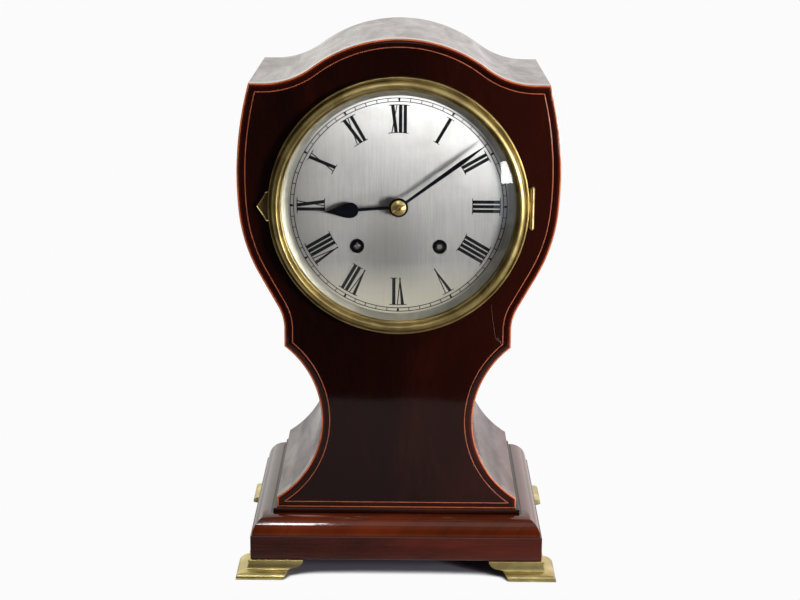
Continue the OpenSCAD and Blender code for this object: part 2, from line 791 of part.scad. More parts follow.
arbor_tip_f = pin_f + 1.1;
// The pin lies across the collet and runs through the tip of the arbor
module across_tip(r, l) {
    translate([0, front - pin_f, dial_z]) rotate([0, 60, 0]) translate([0, 0, -l / 2]) cylinder(r = r, h = l);
}
module hand_collet() {
    dome = collet_h - 0.6;
    ball = (pow(collet_r, 2) + pow(dome, 2)) / (2 * dome);
    color(brass) {
        difference() {
            intersection() {
                bar([0, 0], collet_r, -collet_f - collet_h, collet_h);
                translate([0, front - collet_f - collet_h + ball, dial_z]) sphere(ball);
            }
            bar([0, 0], tip_r, -collet_f - collet_h - 1, collet_h + 2);
        }
        across_tip(pin_r, pin_l);
    }
}

// Gear teeth: narrow enough to run free at every angle
function teeth(n, m, phase, add, ded, root, tip) = [
    for (i = [0:n - 1], k = [[-ded, -root], [add, -tip], [add, tip], [-ded, root]])
        let (r = n * m / 2 + k[0] * m, a = phase + 360 * (i + k[1]) / n)
        [r * cos(a), r * sin(a)]
];
function wheel_points(n, m, phase) = teeth(n, m, phase, 0.9, 1.2, 0.23, 0.1);
function pinion_points(n, m, phase) = teeth(n, m, phase + 180 / n, 0.8, 1.3, 0.17, 0.08);
function angle_to(a, b) = atan2(b[1] - a[1], b[0] - a[0]);
// Where two wheels at distances ra and rb from a and b meet, on the side given
function meet(a, b, ra, rb, side) =
    let (
        d = norm(b - a),
        u = (b - a) / d,
        along = (ra * ra - rb * rb + d * d) / (2 * d),
        off = sqrt(ra * ra - along * along)
    )
    a + along * u + side * off * [-u[1], u[0]];
function mesh_l(na, nb, m) = (na + nb) * m / 2;

// Teeth of the barrel wheels
great_n = 60;
// Teeth of the going train, from the barrel to the escape wheel
inter_pn = 10;
inter_n = 54;
centre_pn = 12;
centre_n = 84;
third_pn = 7;
third_n = 77;
escape_pn = 7;
escape_n = 38;
// Teeth of the strike train, from the barrel to the fly
hammer_pn = 10;
hammer_n = 60;
hammer_m = 0.55;
gather_pn = 8;
gather_n = 56;
gather_m = 0.5;
warn_pn = 7;
warn_n = 48;
warn_m = 0.45;
fly_pn = 7;
// Teeth of the motion work, whose two pairs share one distance
cannon_n = 12;
minute_n = 36;
minute_pn = 10;
hour_n = 40;
motion_l = mesh_l(cannon_n, minute_n, motion_m);
hour_m = 2 * motion_l / (minute_pn + hour_n);

centre_p = [0, 0];
going_p = [key_x, -key_z];
strike_p = [-key_x, -key_z];
great_l = mesh_l(great_n, inter_pn, great_m);
inter_p = meet(centre_p, going_p, mesh_l(inter_n, centre_pn, inter_m), great_l, 1);
escape_drop = 16;
escape_p = [0, swing_z - escape_drop];
third_p = meet(
    centre_p, escape_p, mesh_l(centre_n, third_pn, centre_m), mesh_l(third_n, escape_pn, third_m), -1
);
hammer_p = strike_p + great_l * [cos(98), sin(98)];
gather_p = hammer_p + mesh_l(hammer_n, gather_pn, hammer_m) * [cos(71), sin(71)];
warn_p = gather_p + mesh_l(gather_n, warn_pn, gather_m) * [cos(67), sin(67)];
fly_p = warn_p + mesh_l(warn_n, fly_pn, warn_m) * [cos(163), sin(163)];
minute_p = [0, -motion_l];
swing_p = [0, swing_z];
lift_p = [3.4 - plate_x, -8.8];

// Depths of what stands between the plates
inside = plate_at + plate_t;
back_at = inside + pillar_l;
back_face = back_at + plate_t;
great_at = inside + 5.5;
barrel_at = great_at + 2.5;
inter_at = back_at - 3.5;
centre_at = inside + 1.5;
third_at = inside + 12;
escape_at = back_at - 6;
gather_at = inside + 16;
warn_at = inside + 22;
pivot_r = 0.6;
thin_r = 0.85;
thick_pivot_r = 1.4;

module wheel(p, n, m, phase, depth, t, arms = 5) {
    rim = n * m / 2 - 1.2 * m - 1.6;
    hub = n * m / 2 * 0.27;
    at_dial(depth, t) translate(p) difference() {
        polygon(wheel_points(n, m, phase));
        difference() {
            circle(rim);
            circle(hub);
            for (k = [0:arms - 1]) rotate(k * 360 / arms) translate([0, -0.8]) square([rim + 1, 1.6]);
        }
    }
}
module pinion(p, n, m, phase, depth, t) {
    at_dial(depth, t) translate(p) polygon(pinion_points(n, m, phase));
}
// An arbor between the plates, with its two pivots
module arbor(p, r = thin_r) {
    bar(p, r, inside + 0.3, pillar_l - 0.6);
    bar(p, pivot_r, plate_at, pillar_l + 2 * plate_t);
}
module cannon_pinion() {
    color(brass) difference() {
        union() {
            bar(centre_p, cannon_r, -hand_top, hand_top + plate_at - 0.4);
            pinion(centre_p, cannon_n, motion_m, angle_to(centre_p, minute_p), plate_at - 3.7, 2.5);
        }
        bar(centre_p, centre_r + fit, -hand_top - 1, hand_top + plate_at + 2);
    }
}
module minute_wheel() {
    color(brass) difference() {
        union() {
            wheel(minute_p, minute_n, motion_m, angle_to(minute_p, centre_p), plate_at - 3.2, wheel_t, 4);
            pinion(minute_p, minute_pn, hour_m, angle_to(minute_p, centre_p), plate_at - 6.7, 3.6);
        }
        bar(minute_p, stud_r + fit, plate_at - 8, 10);
    }
}
stud_r = 1.5;
module hour_wheel() {
    color(brass) difference() {
        union() {
            wheel(centre_p, hour_n, hour_m, angle_to(centre_p, minute_p), plate_at - 6, 1.2, 4);
            bar(centre_p, hour_pipe_r, -hour_f - hand_t, hour_f + hand_t + plate_at - 4.4);
        }
        bar(centre_p, cannon_r + fit, -hour_f - hand_t - 1, plate_at + 4);
    }
}

plate_corner = 5;
pillar_in = 6;
bracket_in = 17;
pillar_p = [for (x = [-1, 1], z = [-1, 1]) [x * (plate_x - pillar_in), z * (plate_z - pillar_in)]];
bracket_p = [for (x = [-1, 1], z = [-1, 1]) [x * (plate_x - pillar_in), z * (plate_z - bracket_in)]];
pivots = [inter_p, third_p, escape_p, hammer_p, gather_p, warn_p, fly_p];
module plate_blank(depth) {
    at_dial(depth, plate_t) polygon(rounded(plate_x, -plate_z, plate_z, plate_corner));
}
module front_plate() {
    color(brass) {
        difference() {
            plate_blank(plate_at);
            for (p = pivots) bar(p, pivot_r + fit, plate_at - 1, plate_t + 2);
            bar(swing_p, pivot_r + fit, plate_at - 1, plate_t + 2);
            bar(lift_p, thick_pivot_r + fit, plate_at - 1, plate_t + 2);
            bar(centre_p, centre_r + fit, plate_at - 1, plate_t + 2);
            for (p = [going_p, strike_p]) bar(p, winder_r + fit, plate_at - 1, plate_t + 2);
            for (p = pillar_p) bar(p, pillar_end_r, plate_at - 1, plate_t + 2);
            for (p = bracket_p) bar(p, screw_r, plate_at - 1, plate_t + 2);
            for (side = [-1, 1]) bar(click_p(side), click_stud_r, plate_at - 1, plate_t + 2);
        }
        bar(minute_p, stud_r, plate_at - 7.4, 7.4);
    }
}
module back_plate() {
    color(brass) difference() {
        plate_blank(back_at);
        for (p = pivots) bar(p, pivot_r + fit, back_at - 1, plate_t + 2);
        bar(centre_p, thick_pivot_r + fit, back_at - 1, plate_t + 2);
        bar(swing_p, 3, back_at - 1, plate_t + 2);
        bar(lift_p, thick_pivot_r + fit, back_at - 1, plate_t + 2);
        for (p = [going_p, strike_p]) bar(p, winder_r + fit, back_at - 1, plate_t + 2);
        for (p = pillar_p) bar(p, pillar_end_r, back_at - 1, plate_t + 2);
        for (side = [-1, 1]) bar([side * cock_x, cock_z], screw_r, back_at - 1, plate_t + 2);
    }
}
pillar_end_r = 2.4;
screw_r = 1.3;
module pillars() {
    color(brass) for (p = pillar_p) {
        bar(p, pillar_r, inside, pillar_l);
        bar(p, pillar_end_r, plate_at - 3, pillar_l + 2 * plate_t + 6);
        for (d = [3, pillar_l - 5]) bar(p, pillar_r + 0.7, inside + d, 2);
    }
}
// Four angles carry the front plate from the back of the front board
bracket_w = 10;
bracket_t = 2;
bracket_out = 17;
module movement_brackets() {
    color(steel) for (p = bracket_p) {
        s = sign(p[0]);
        low = p[1] - bracket_w / 2;
        difference() {
            union() {
                angle_leg(s, p[0] - s * 4, p[0] + s * 6.5, low, plate_at - bracket_t, bracket_t);
                angle_leg(s, p[0] + s * 6.5, p[0] + s * (6.5 + bracket_t), low, front_t, plate_at - front_t);
                angle_leg(s, p[0] + s * 6.5, p[0] + s * (6.5 + bracket_out), low, front_t, bracket_t);
            }
            bar(p, screw_r, plate_at - bracket_t - 1, bracket_t + 2);
            bar(foot_of(p), screw_r, front_t - 1, bracket_t + 2);
        }
    }
}
module angle_leg(s, x0, x1, z, depth, t) {
    translate([min(x0, x1), front + depth, dial_z + z]) cube([abs(x1 - x0), t, bracket_w]);
}
function foot_of(p) = p + [sign(p[0]) * (6.5 + bracket_out - 5), 0];
module movement_screws() {
    color(steel) {
        for (p = bracket_p) {
            bar(p, screw_r, plate_at - bracket_t, bracket_t + plate_t);
            bar(p, screw_r * 2, plate_at - bracket_t - 1.4, 1.4);
            bar(foot_of(p), screw_r * 2, front_t + bracket_t, 1.4);
            bar(foot_of(p), screw_r, front_t - wood_screw_l, wood_screw_l + bracket_t);
        }
        for (p = pillar_p) for (d = [plate_at - 2.6, back_face]) difference() {
            translate([p[0], front + d + 2.6, dial_z + p[1]]) rotate([90, 0, 0])
                cylinder(r = 4.4, h = 2.6, $fn = 6);
            bar(p, pillar_end_r, d - 1, 5);
        }
        for (side = [-1, 1]) {
            bar(click_p(side), click_stud_r, ratchet_at - 0.3, plate_at - ratchet_at + 0.3 + plate_t);
            bar(click_p(side), click_stud_r + 1.1, ratchet_at - 1.3, 1);
            bar([side * cock_x, cock_z], screw_r, back_at, plate_t + cock_leg + cock_t);
            bar([side * cock_x, cock_z], screw_r * 2, back_face + cock_leg + cock_t, 1.4);
        }
    }
}

// A spring barrel with its toothed rim, free on its winding arbor
winder_r = 3;
drum_bore = winder_r + fit;
module barrel(p, other) {
    color(brass) difference() {
        union() {
            at_dial(great_at, 2.5) translate(p) polygon(wheel_points(great_n, great_m, angle_to(p, other)));
            bar(p, barrel_r, barrel_at, barrel_h);
            bar(p, barrel_r - 3, barrel_at + barrel_h, 0.6);
            bar(p, 5, great_at - 1.2, 2);
        }
        bar(p, drum_bore, great_at - 3, barrel_h + 10);
    }
}
ratchet_r = 8.6;
ratchet_n = 20;
ratchet_t = 1.8;
module winding_arbor(p, turn) {
    color(steel) {
        bar(p, winder_r, ratchet_at - 0.2, back_face - ratchet_at + 0.2);
        at_dial(key_at, ratchet_at - key_at) translate(p) rotate(turn) square(key_square, center = true);
        at_dial(ratchet_at, ratchet_t) translate(p) polygon([
            for (i = [0:ratchet_n - 1], k = [[0, 0.02], [1, 0.1], [1, 0.2]])
                let (r = ratchet_r - 1.5 * (1 - k[0]), a = 360 * (i + k[1]) / ratchet_n)
                [r * cos(a), r * sin(a)]
        ]);
    }
}
key_at = dial_sink - 0.5;
ratchet_at = plate_at - ratchet_t - 0.2;
click_stud_r = 1.2;
nose_gap = 0.6;
function click_p(side) = [side * (key_x + 9.5), 9.5 - key_z];
function round_key(r, a) = [key_x + r * cos(a), r * sin(a) - key_z];
// The click's nose stands just clear of the ratchet's teeth
module click(side) {
    p = click_p(1);
    nose = ratchet_r + nose_gap;
    color(steel) flip([1, 0, 0], side < 0) difference() {
        at_dial(ratchet_at, ratchet_t) {
            translate(p) circle(2.8);
            polygon([
                p + [0.6, 2.7],
                round_key(nose + 2.6, 75),
                round_key(nose, 81),
                round_key(nose + 1.6, 65),
                p - [2.2, 1.2],
            ]);
        }
        bar(p, click_stud_r + fit, ratchet_at - 1, ratchet_t + 2);
    }
}
module going_barrel() {
    barrel(going_p, inter_p);
}
module strike_barrel() {
    barrel(strike_p, hammer_p);
}
module going_winding_arbor() {
    winding_arbor(going_p, 0);
}
module strike_winding_arbor() {
    winding_arbor(strike_p, 45);
}
module going_click() {
    click(1);
}
module strike_click() {
    click(-1);
}

module intermediate_wheel() {
    color(brass) {
        bar(inter_p, 1.5, great_at - 1.5, back_at - great_at + 1.2);
        bar(inter_p, pivot_r, plate_at, pillar_l + 2 * plate_t);
        pinion(inter_p, inter_pn, great_m, angle_to(inter_p, going_p), great_at - 1, 4.5);
        wheel(inter_p, inter_n, inter_m, angle_to(inter_p, centre_p), inter_at, wheel_t);
    }
}
module centre_wheel() {
    color(brass) difference() {
        union() {
            bar(centre_p, centre_r + 0.4, inside + 0.3, pillar_l - 0.6);
            bar(centre_p, thick_pivot_r, inside + 1, pillar_l - 1 + plate_t);
            bar(centre_p, centre_r, -hand_top + 0.4, inside + hand_top);
            bar(centre_p, tip_r, -arbor_tip_f, inside + arbor_tip_f);
            pinion(centre_p, centre_pn, inter_m, angle_to(centre_p, inter_p), inter_at - 1, 3.6);
            wheel(centre_p, centre_n, centre_m, angle_to(centre_p, third_p), centre_at, wheel_t);
        }
        across_tip(pin_r, pin_l);
    }
}
module third_wheel() {
    color(brass) {
        arbor(third_p);
        pinion(third_p, third_pn, centre_m, angle_to(third_p, centre_p), centre_at - 0.8, 3.4);
        wheel(third_p, third_n, third_m, angle_to(third_p, escape_p), third_at, wheel_t);
    }
}
module escape_wheel() {
    color(brass) {
        arbor(escape_p);
        pinion(escape_p, escape_pn, third_m, angle_to(escape_p, third_p), third_at - 0.8, 3.2);
        at_dial(escape_at, 1.2) translate(escape_p) difference() {
            polygon([
                for (i = [0:escape_n - 1], k = [[0, 0], [1, 0.34], [1, 0.46], [0, 0.6]])
                    let (r = escape_r - 2.2 + 2.2 * k[0], a = 360 * (i + k[1]) / escape_n)
                    [r * cos(a), r * sin(a)]
            ]);
            difference() {
                circle(escape_r - 3.6);
                circle(2.6);
                for (k = [0:4]) rotate(72 * k) translate([0, -0.6]) square([escape_r, 1.2]);
            }
        }
    }
}
// The anchor's nibs stand clear of the wheel over the whole swing
nib_gap = 1.2;
crutch_l = 22;
rod_r = 1.2;
rod_at = back_face + 9;
module pallets() {
    nib_r = escape_r + nib_gap;
    color(steel) {
        bar(swing_p, 1.1, inside + 0.3, back_face + 1 - inside);
        bar(swing_p, pivot_r, plate_at, back_face - plate_at + cock_leg + cock_t);
        at_dial(escape_at - 0.4, 2) difference() {
            union() {
                translate(swing_p) circle(3);
                for (side = [-1, 1]) polygon([
                    swing_p + [0, 2],
                    swing_p + [0, -2],
                    escape_p + (nib_r + 2.2) * [side * sin(22), cos(22)],
                    escape_p + nib_r * [side * sin(38), cos(38)],
                    escape_p + nib_r * [side * sin(48), cos(48)],
                    escape_p + (nib_r + 2.6) * [side * sin(44), cos(44)],
                ]);
            }
            translate(escape_p) circle(nib_r);
        }
        bar(swing_p, 2.4, back_face + 0.8, 2.6);
        translate([-1, front + back_face + 1.2, dial_z + swing_z - crutch_l])
            cube([2, 1.4, crutch_l]);
        translate([0, front + back_face + 1.2, dial_z + swing_z - crutch_l - 2]) {
            for (side = [-1, 1]) translate([side * (rod_r + 0.9) - 0.6, 0, 0])
                cube([1.2, rod_at - back_face + 1, 3]);
            translate([-rod_r - 1.5, 0, 0]) cube([2 * rod_r + 3, 1.4, 3]);
        }
    }
}
// The cock bridges the pallet arbor and clamps the pendulum's spring
cock_x = 14;
cock_z = swing_z + 2;
cock_leg = 5;
cock_t = 2.5;
cock_foot = 8;
cock_block = 5.5;
slot_x = 3.4;
module suspension_cock() {
    spring_at = rod_at - 0.35;
    color(brass) difference() {
        union() {
            at_dial(back_face, cock_leg) for (side = [-1, 1])
                translate([side * cock_x - cock_foot / 2, cock_z - 4.5]) square(cock_foot);
            at_dial(back_face + cock_leg - 0.01, cock_t) translate([-cock_x - cock_foot / 2, swing_z - 4])
                square([2 * cock_x + cock_foot, cock_foot + 3]);
            at_dial(back_face + cock_leg + cock_t - 0.02, cock_block) translate([-5, swing_z + 0.5])
                square([10, 6.5]);
        }
        bar(swing_p, pivot_r + fit, back_face, cock_leg + cock_t + 0.6);
        at_dial(spring_at, 0.7) translate([-slot_x, swing_z]) square([2 * slot_x, 5]);
        for (side = [-1, 1]) bar([side * cock_x, cock_z], screw_r, back_face - 1, 12);
    }
}
module pendulum() {
    rod_low = swing_z - pendulum_l - bob_r - 6;
    ball = (pow(bob_r, 2) + pow(bob_t / 2, 2)) / bob_t;
    color(brass) {
        at_dial(rod_at - 0.15, 0.3) translate([-2.6, swing_z - 8]) square([5.2, 11]);
        at_dial(rod_at - 1.6, 3.2) translate([-3.4, swing_z - 13]) square([6.8, 6]);
        translate([0, front + rod_at, dial_z + rod_low]) cylinder(r = rod_r, h = swing_z - 10 - rod_low);
        intersection() {
            translate([0, front + rod_at - bob_t / 2 + ball, dial_z + swing_z - pendulum_l])
                sphere(ball, $fn = fine);
            translate([0, front + rod_at + bob_t / 2 - ball, dial_z + swing_z - pendulum_l])
                sphere(ball, $fn = fine);
        }
        translate([0, front + rod_at, dial_z + swing_z - pendulum_l - bob_r - 3.2]) cylinder(r = 4, h = 3);
    }
}

hammer_at = back_at - 3.5;
module hammer_wheel() {
    color(brass) {
        arbor(hammer_p, 1.4);
        pinion(hammer_p, hammer_pn, great_m, angle_to(hammer_p, strike_p), great_at - 1, 4.5);
        wheel(hammer_p, hammer_n, hammer_m, angle_to(hammer_p, gather_p), hammer_at, wheel_t);
        for (k = [0:7])
            bar(hammer_p + lift_pin_r * [cos(45 * k + 20), sin(45 * k + 20)], lift_pin, hammer_at - 2, 2);
    }
}
lift_pin = 0.7;
lift_pin_r = hammer_n * hammer_m / 2 - 1.2 * hammer_m - 0.8;
module gathering_wheel() {
    color(brass) {
        arbor(gather_p);
        pinion(gather_p, gather_pn, hammer_m, angle_to(gather_p, hammer_p), hammer_at - 1, 3.4);
        wheel(gather_p, gather_n, gather_m, angle_to(gather_p, warn_p), gather_at, wheel_t);
    }
}
module warning_wheel() {
    color(brass) {
        arbor(warn_p);
        pinion(warn_p, warn_pn, gather_m, angle_to(warn_p, gather_p), gather_at - 0.8, 3.2);
        wheel(warn_p, warn_n, warn_m, angle_to(warn_p, fly_p), warn_at, wheel_t);
    }
}
fly_r = 9;
fly_l = 11;
fly_t = 0.6;
module fly() {
    color(brass) {
        arbor(fly_p);
        pinion(fly_p, fly_pn, warn_m, angle_to(fly_p, warn_p), warn_at - 0.8, 3.2);
        at_dial(inside + 3, fly_l) translate(fly_p) square([2 * fly_r, fly_t], center = true);
    }
}

hammer_head_r = 4.5;
hammer_head_l = 11;
head_gap = 1.5;
coil_c = [0, coil_z - dial_z];
coil_edge = coil_r + wire_d / 2;
head_p = coil_c + (coil_edge + head_gap + hammer_head_l / 2) * [-sin(45), cos(45)];
module hammer() {
    tail = norm(hammer_p - lift_p) - lift_pin_r - lift_pin - 0.5;
    color(steel) {
        bar(lift_p, thick_pivot_r, plate_at, coil_at - plate_at + 2);
        bar(lift_p, 2.6, back_face + 1, 3);
        bar(lift_p, 2.6, coil_at - 2, 4);
        at_dial(coil_at - 1, 2) translate(lift_p) rotate(angle_to(lift_p, head_p))
            translate([0, -1.2]) square([norm(head_p - lift_p), 2.4]);
        translate([head_p[0], front + coil_at, dial_z + head_p[1]]) rotate([0, 135, 0])
            translate([0, 0, -hammer_head_l / 2]) cylinder(r = hammer_head_r, h = hammer_head_l);
        at_dial(hammer_at - 2, 1.6) translate(lift_p) rotate(angle_to(lift_p, hammer_p))
            translate([0, -0.8]) square([tail, 1.6]);
    }
}

// The gong: one wire wound in a flat spiral, whose inner end turns back into the block
ring_n = 24;
side_n = 6;
bend_r = 4.5;
inner_r = coil_r - coil_n * coil_pitch;
post_at = coil_at + bend_r + wire_d;
function spiral_p(a) =
    let (r = inner_r + coil_pitch * a / 360)
    [r * cos(90 + a), 0, r * sin(90 + a)];
function spiral_t(a) =
    let (v = spiral_p(a) - spiral_p(a + 0.01))
    v / norm(v);
inner_t = spiral_t(0);
// Each ring: its middle and the direction of the wire there
wire_path = concat(
    [for (i = [coil_n * ring_n:-1:0]) let (a = 360 * i / ring_n) [spiral_p(a), spiral_t(a)]],
    [
        for (b = [22.5:22.5:90])
            [spiral_p(0) + bend_r * (sin(b) * inner_t + (1 - cos(b)) * [0, 1, 0]),
                cos(b) * inner_t + sin(b) * [0, 1, 0]]
    ],
    [[spiral_p(0) + bend_r * inner_t + [0, bend_r + wire_d, 0], [0, 1, 0]]]
);
function across(t) = [t[2], 0, -t[0]];
bend_n = across(inner_t);
function ring_side(k) = k > coil_n * ring_n ? bend_n : across(wire_path[k][1]);
wire_points = [
    for (k = [0:len(wire_path) - 1], j = [0:side_n - 1])
        let (
            n = ring_side(k),
            b = cross(wire_path[k][1], n),
            a = 360 * j / side_n
        )
        wire_path[k][0] + wire_d / 2 * (cos(a) * n + sin(a) * b)
];
wire_faces = concat(
    [[for (j = [0:side_n - 1]) j]],
    [
        for (k = [0:len(wire_path) - 2], j = [0:side_n - 1], half = [0, 1])
            let (
                a = k * side_n + j,
                b = k * side_n + (j + 1) % side_n
            )
            half == 0 ? [a, a + side_n, b] : [b, a + side_n, b + side_n]
    ],
    [[for (j = [side_n - 1:-1:0]) (len(wire_path) - 1) * side_n + j]]
);
// The least distance from one turn to the next, less the wire
path_n = len(wire_path);
wire_gap = min([
    for (i = [0:path_n - 1], j = [i + ring_n / 2:path_n - 1])
        norm(wire_path[i][0] - wire_path[j][0])
]) - wire_d;
echo(wire_gap = wire_gap);
module gong() {
    color("#50535a") translate([0, front + coil_at, coil_z])
        polyhedron(points = wire_points, faces = wire_faces);
}
// An iron post on the base board carries the inner end of the wire
post_w = 10;
post_t = 8;
post_foot = 4;
module gong_block() {
    end = wire_path[path_n - 1][0];
    color("#2c2c2e") {
        translate([end[0] - post_w / 2, front + post_at, body_low])
            cube([post_w, post_t, coil_z + end[2] + post_w / 2 - body_low]);
        translate([end[0] - post_w, front + post_at - post_foot, body_low])
            cube([2 * post_w, post_t + 2 * post_foot, post_foot]);
    }
}

front_board();
crossbanding();
edge_stringing();
inner_stringing();
left_side();
right_side();
top_panel();
back_board();
base_board();
base_moulding();
plinth();
foot_front_left();
foot_front_right();
foot_back_left();
foot_back_right();
foot_screws();
back_door();
door_hinge_plates();
door_hinge_leaves();
door_knob();
bezel_seat();
dial_plate();
dial_markings();
bezel_ring();
bezel_glass();
glass_retainer();
bezel_tab();
bezel_hinge_leaf();
bezel_hinge_plate();
minute_hand();
hour_hand();
hand_collet();
cannon_pinion();
minute_wheel();
hour_wheel();
front_plate();
back_plate();
pillars();
movement_brackets();
movement_screws();
going_barrel();
going_winding_arbor();
going_click();
intermediate_wheel();
centre_wheel();
third_wheel();
escape_wheel();
pallets();
suspension_cock();
pendulum();
strike_barrel();
strike_winding_arbor();
strike_click();
hammer_wheel();
gathering_wheel();
warning_wheel();
fly();
hammer();
gong();
gong_block();
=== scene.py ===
"""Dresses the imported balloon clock: finer meshes for the curved case and the brass,
a node material for every piece, a pale floor, soft studio lamps and the camera."""

import math

import bmesh
import bpy
from mathutils import Matrix, Vector
from mathutils.geometry import tessellate_polygon


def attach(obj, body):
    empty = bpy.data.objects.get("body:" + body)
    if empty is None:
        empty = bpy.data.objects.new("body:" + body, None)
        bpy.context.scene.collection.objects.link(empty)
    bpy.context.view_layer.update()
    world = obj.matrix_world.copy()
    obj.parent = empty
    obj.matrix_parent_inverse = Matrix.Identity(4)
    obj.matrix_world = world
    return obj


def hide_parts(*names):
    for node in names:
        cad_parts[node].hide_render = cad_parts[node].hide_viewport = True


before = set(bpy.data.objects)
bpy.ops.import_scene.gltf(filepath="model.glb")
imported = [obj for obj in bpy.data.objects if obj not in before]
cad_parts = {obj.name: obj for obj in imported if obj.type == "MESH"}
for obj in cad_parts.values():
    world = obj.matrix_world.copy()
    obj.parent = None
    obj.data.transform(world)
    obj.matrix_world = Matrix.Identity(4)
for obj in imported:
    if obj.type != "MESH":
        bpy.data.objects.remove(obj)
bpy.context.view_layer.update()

# Sizes, in millimetres
MM = 0.001
CASE_H = 350.0
CASE_D = 140.0
FRONT = -61.65
REAR = FRONT + CASE_D
DIAL_Z = 243.9
SKIN = 6.0
FRONT_T = 9.0
BACK_T = 8.0
DOOR_T, DOOR_SEAT, DOOR_GAP = 5.6, 0.3, 0.6
DOOR_X, DOOR_LOW, DOOR_HIGH, DOOR_CORNER, DOOR_LIP = 52.0, 172.0, 306.0, 8.0, 3.0
CROWN_R = 92.0
SHOULDER = (86.0, 321.6)
BULGE_X, BULGE_Z, BULGE_R = 102.6, 262.0, 225.0
BELLY_A, BELLY_R = 5.6, 106.0
FLANK_A = 29.0
NECK_X = 73.2
THROAT_R = 30.0
WAIST_X, WAIST_Z, WAIST_R = 49.3, 101.8, 63.4
HEM_X = 79.0
PLINTH_LOW, PLINTH_TOP = 10.8, 26.8
OVOLO_R = 11.6
BOARD_TOP = PLINTH_TOP + OVOLO_R
BODY_LOW = BOARD_TOP + 2.8
PLINTH_X = 95.7
PLINTH_FRONT = -78.35
PLINTH_WALL = 14.0
LEDGE = 2.4
PLINTH_STEP = 1.1
CORE_X = PLINTH_X - PLINTH_STEP - OVOLO_R
CORE_FRONT = PLINTH_FRONT + PLINTH_STEP + OVOLO_R
INLAY_T = 1.0
INLAY_EASE = 0.07
# The inlay's edges: how far each lies inside the outline, at the sides and along the foot
EDGE_LINE = (1.0, 0.75)
DARK_BAND = (5.0, 3.5)
INNER_LINE = (5.6, 4.1)
DIAL_R = 76.2
DIAL_FIT, DIAL_REBATE, DIAL_SEAT = 0.05, 4.5, 6.0
SIGHT_R = 74.5
BEZEL_R = 82.8
BEZEL_H = 8.2
BEZEL_BACK = 1.2


# Outlines
def arc(c, r, a0, a1, n):
    """n + 1 points along an arc, angles in degrees."""
    turn = [math.radians(a0 + (a1 - a0) * i / n) for i in range(n + 1)]
    return [(c[0] + r * math.cos(a), c[1] + r * math.sin(a)) for a in turn]


def sind(a):
    return math.sin(math.radians(a))


def cosd(a):
    return math.cos(math.radians(a))


def angle_of(s):
    return math.degrees(math.asin(s))


crown_c = (0.0, CASE_H - CROWN_R)
rise = SHOULDER[1] - crown_c[1]
sweep_r = (SHOULDER[0] ** 2 + rise**2 - CROWN_R**2) / (2 * (CROWN_R - rise))
sweep_c = (SHOULDER[0], SHOULDER[1] + sweep_r)
crown_a = math.degrees(math.atan2(sweep_c[1] - crown_c[1], sweep_c[0] - crown_c[0]))
bulge_c = (BULGE_X - BULGE_R, BULGE_Z)
belly_c = (
    bulge_c[0] + (BULGE_R - BELLY_R) * cosd(BELLY_A),
    bulge_c[1] - (BULGE_R - BELLY_R) * sind(BELLY_A),
)
flank_p = (belly_c[0] + BELLY_R * cosd(FLANK_A), belly_c[1] - BELLY_R * sind(FLANK_A))
throat_c = (
    NECK_X + THROAT_R,
    flank_p[1] + ((NECK_X + THROAT_R - flank_p[0]) * cosd(FLANK_A) - THROAT_R) / sind(FLANK_A),
)
waist_c = (WAIST_X + WAIST_R, WAIST_Z)


def top_half(d):
    """The top from its middle to the right shoulder, inset by d."""
    corner = angle_of((SHOULDER[1] - d - BULGE_Z) / (BULGE_R - d))
    return (
        arc(crown_c, CROWN_R - d, 90, crown_a, 48)
        + arc(sweep_c, sweep_r + d, 180 + crown_a, 270, 28)[1:]
        + arc(bulge_c, BULGE_R - d, corner, corner, 1)[:1]
    )


def side_line(d, low):
    """The right side from the shoulder to the foot, inset by d and ending at height low."""
    corner = angle_of((SHOULDER[1] - d - BULGE_Z) / (BULGE_R - d))
    top = 180 - math.degrees(math.acos((waist_c[0] - NECK_X + d) / (WAIST_R + d)))
    foot = 180 + math.degrees(math.acos((waist_c[0] - HEM_X + d) / (WAIST_R + d)))
    cut = 180 + angle_of((WAIST_Z - low) / (WAIST_R + d))
    line = (
        arc(bulge_c, BULGE_R - d, corner, -BELLY_A, 22)
        + arc(belly_c, BELLY_R - d, -BELLY_A, -FLANK_A, 26)[1:]
        + arc(throat_c, THROAT_R + d, 180 - FLANK_A, 180, 24)
        + arc(waist_c, WAIST_R + d, top, min(foot, cut), 90)
    )
    return line + [(HEM_X - d, low) if foot < cut else line[-1]]


def mirrored(points):
    return [(-x, z) for x, z in reversed(points)]


def outline(d, low=0.0):
    """The whole front, clockwise from the top's middle: inset by d, and by low at the foot."""
    right = top_half(d)[:-1] + side_line(d, BODY_LOW + low)
    return right + mirrored(right)[:-1]


def rounded(x, z0, z1, r, n=8):
    return (
        arc((x - r, z1 - r), r, 90, 0, n)
        + arc((x - r, z0 + r), r, 0, -90, n)
        + arc((r - x, z0 + r), r, 270, 180, n)
        + arc((r - x, z1 - r), r, 180, 90, n)
    )


def circle(r, n=192):
    return [(r * sind(360 * i / n), DIAL_Z + r * cosd(360 * i / n)) for i in range(n)]


def cleaned(loop):
    """The loop without points that repeat their neighbour."""
    kept = []
    for p in loop:
        if not kept or math.dist(p, kept[-1]) > 1e-5:
            kept.append(p)
    if math.dist(kept[0], kept[-1]) < 1e-5:
        kept.pop()
    return kept


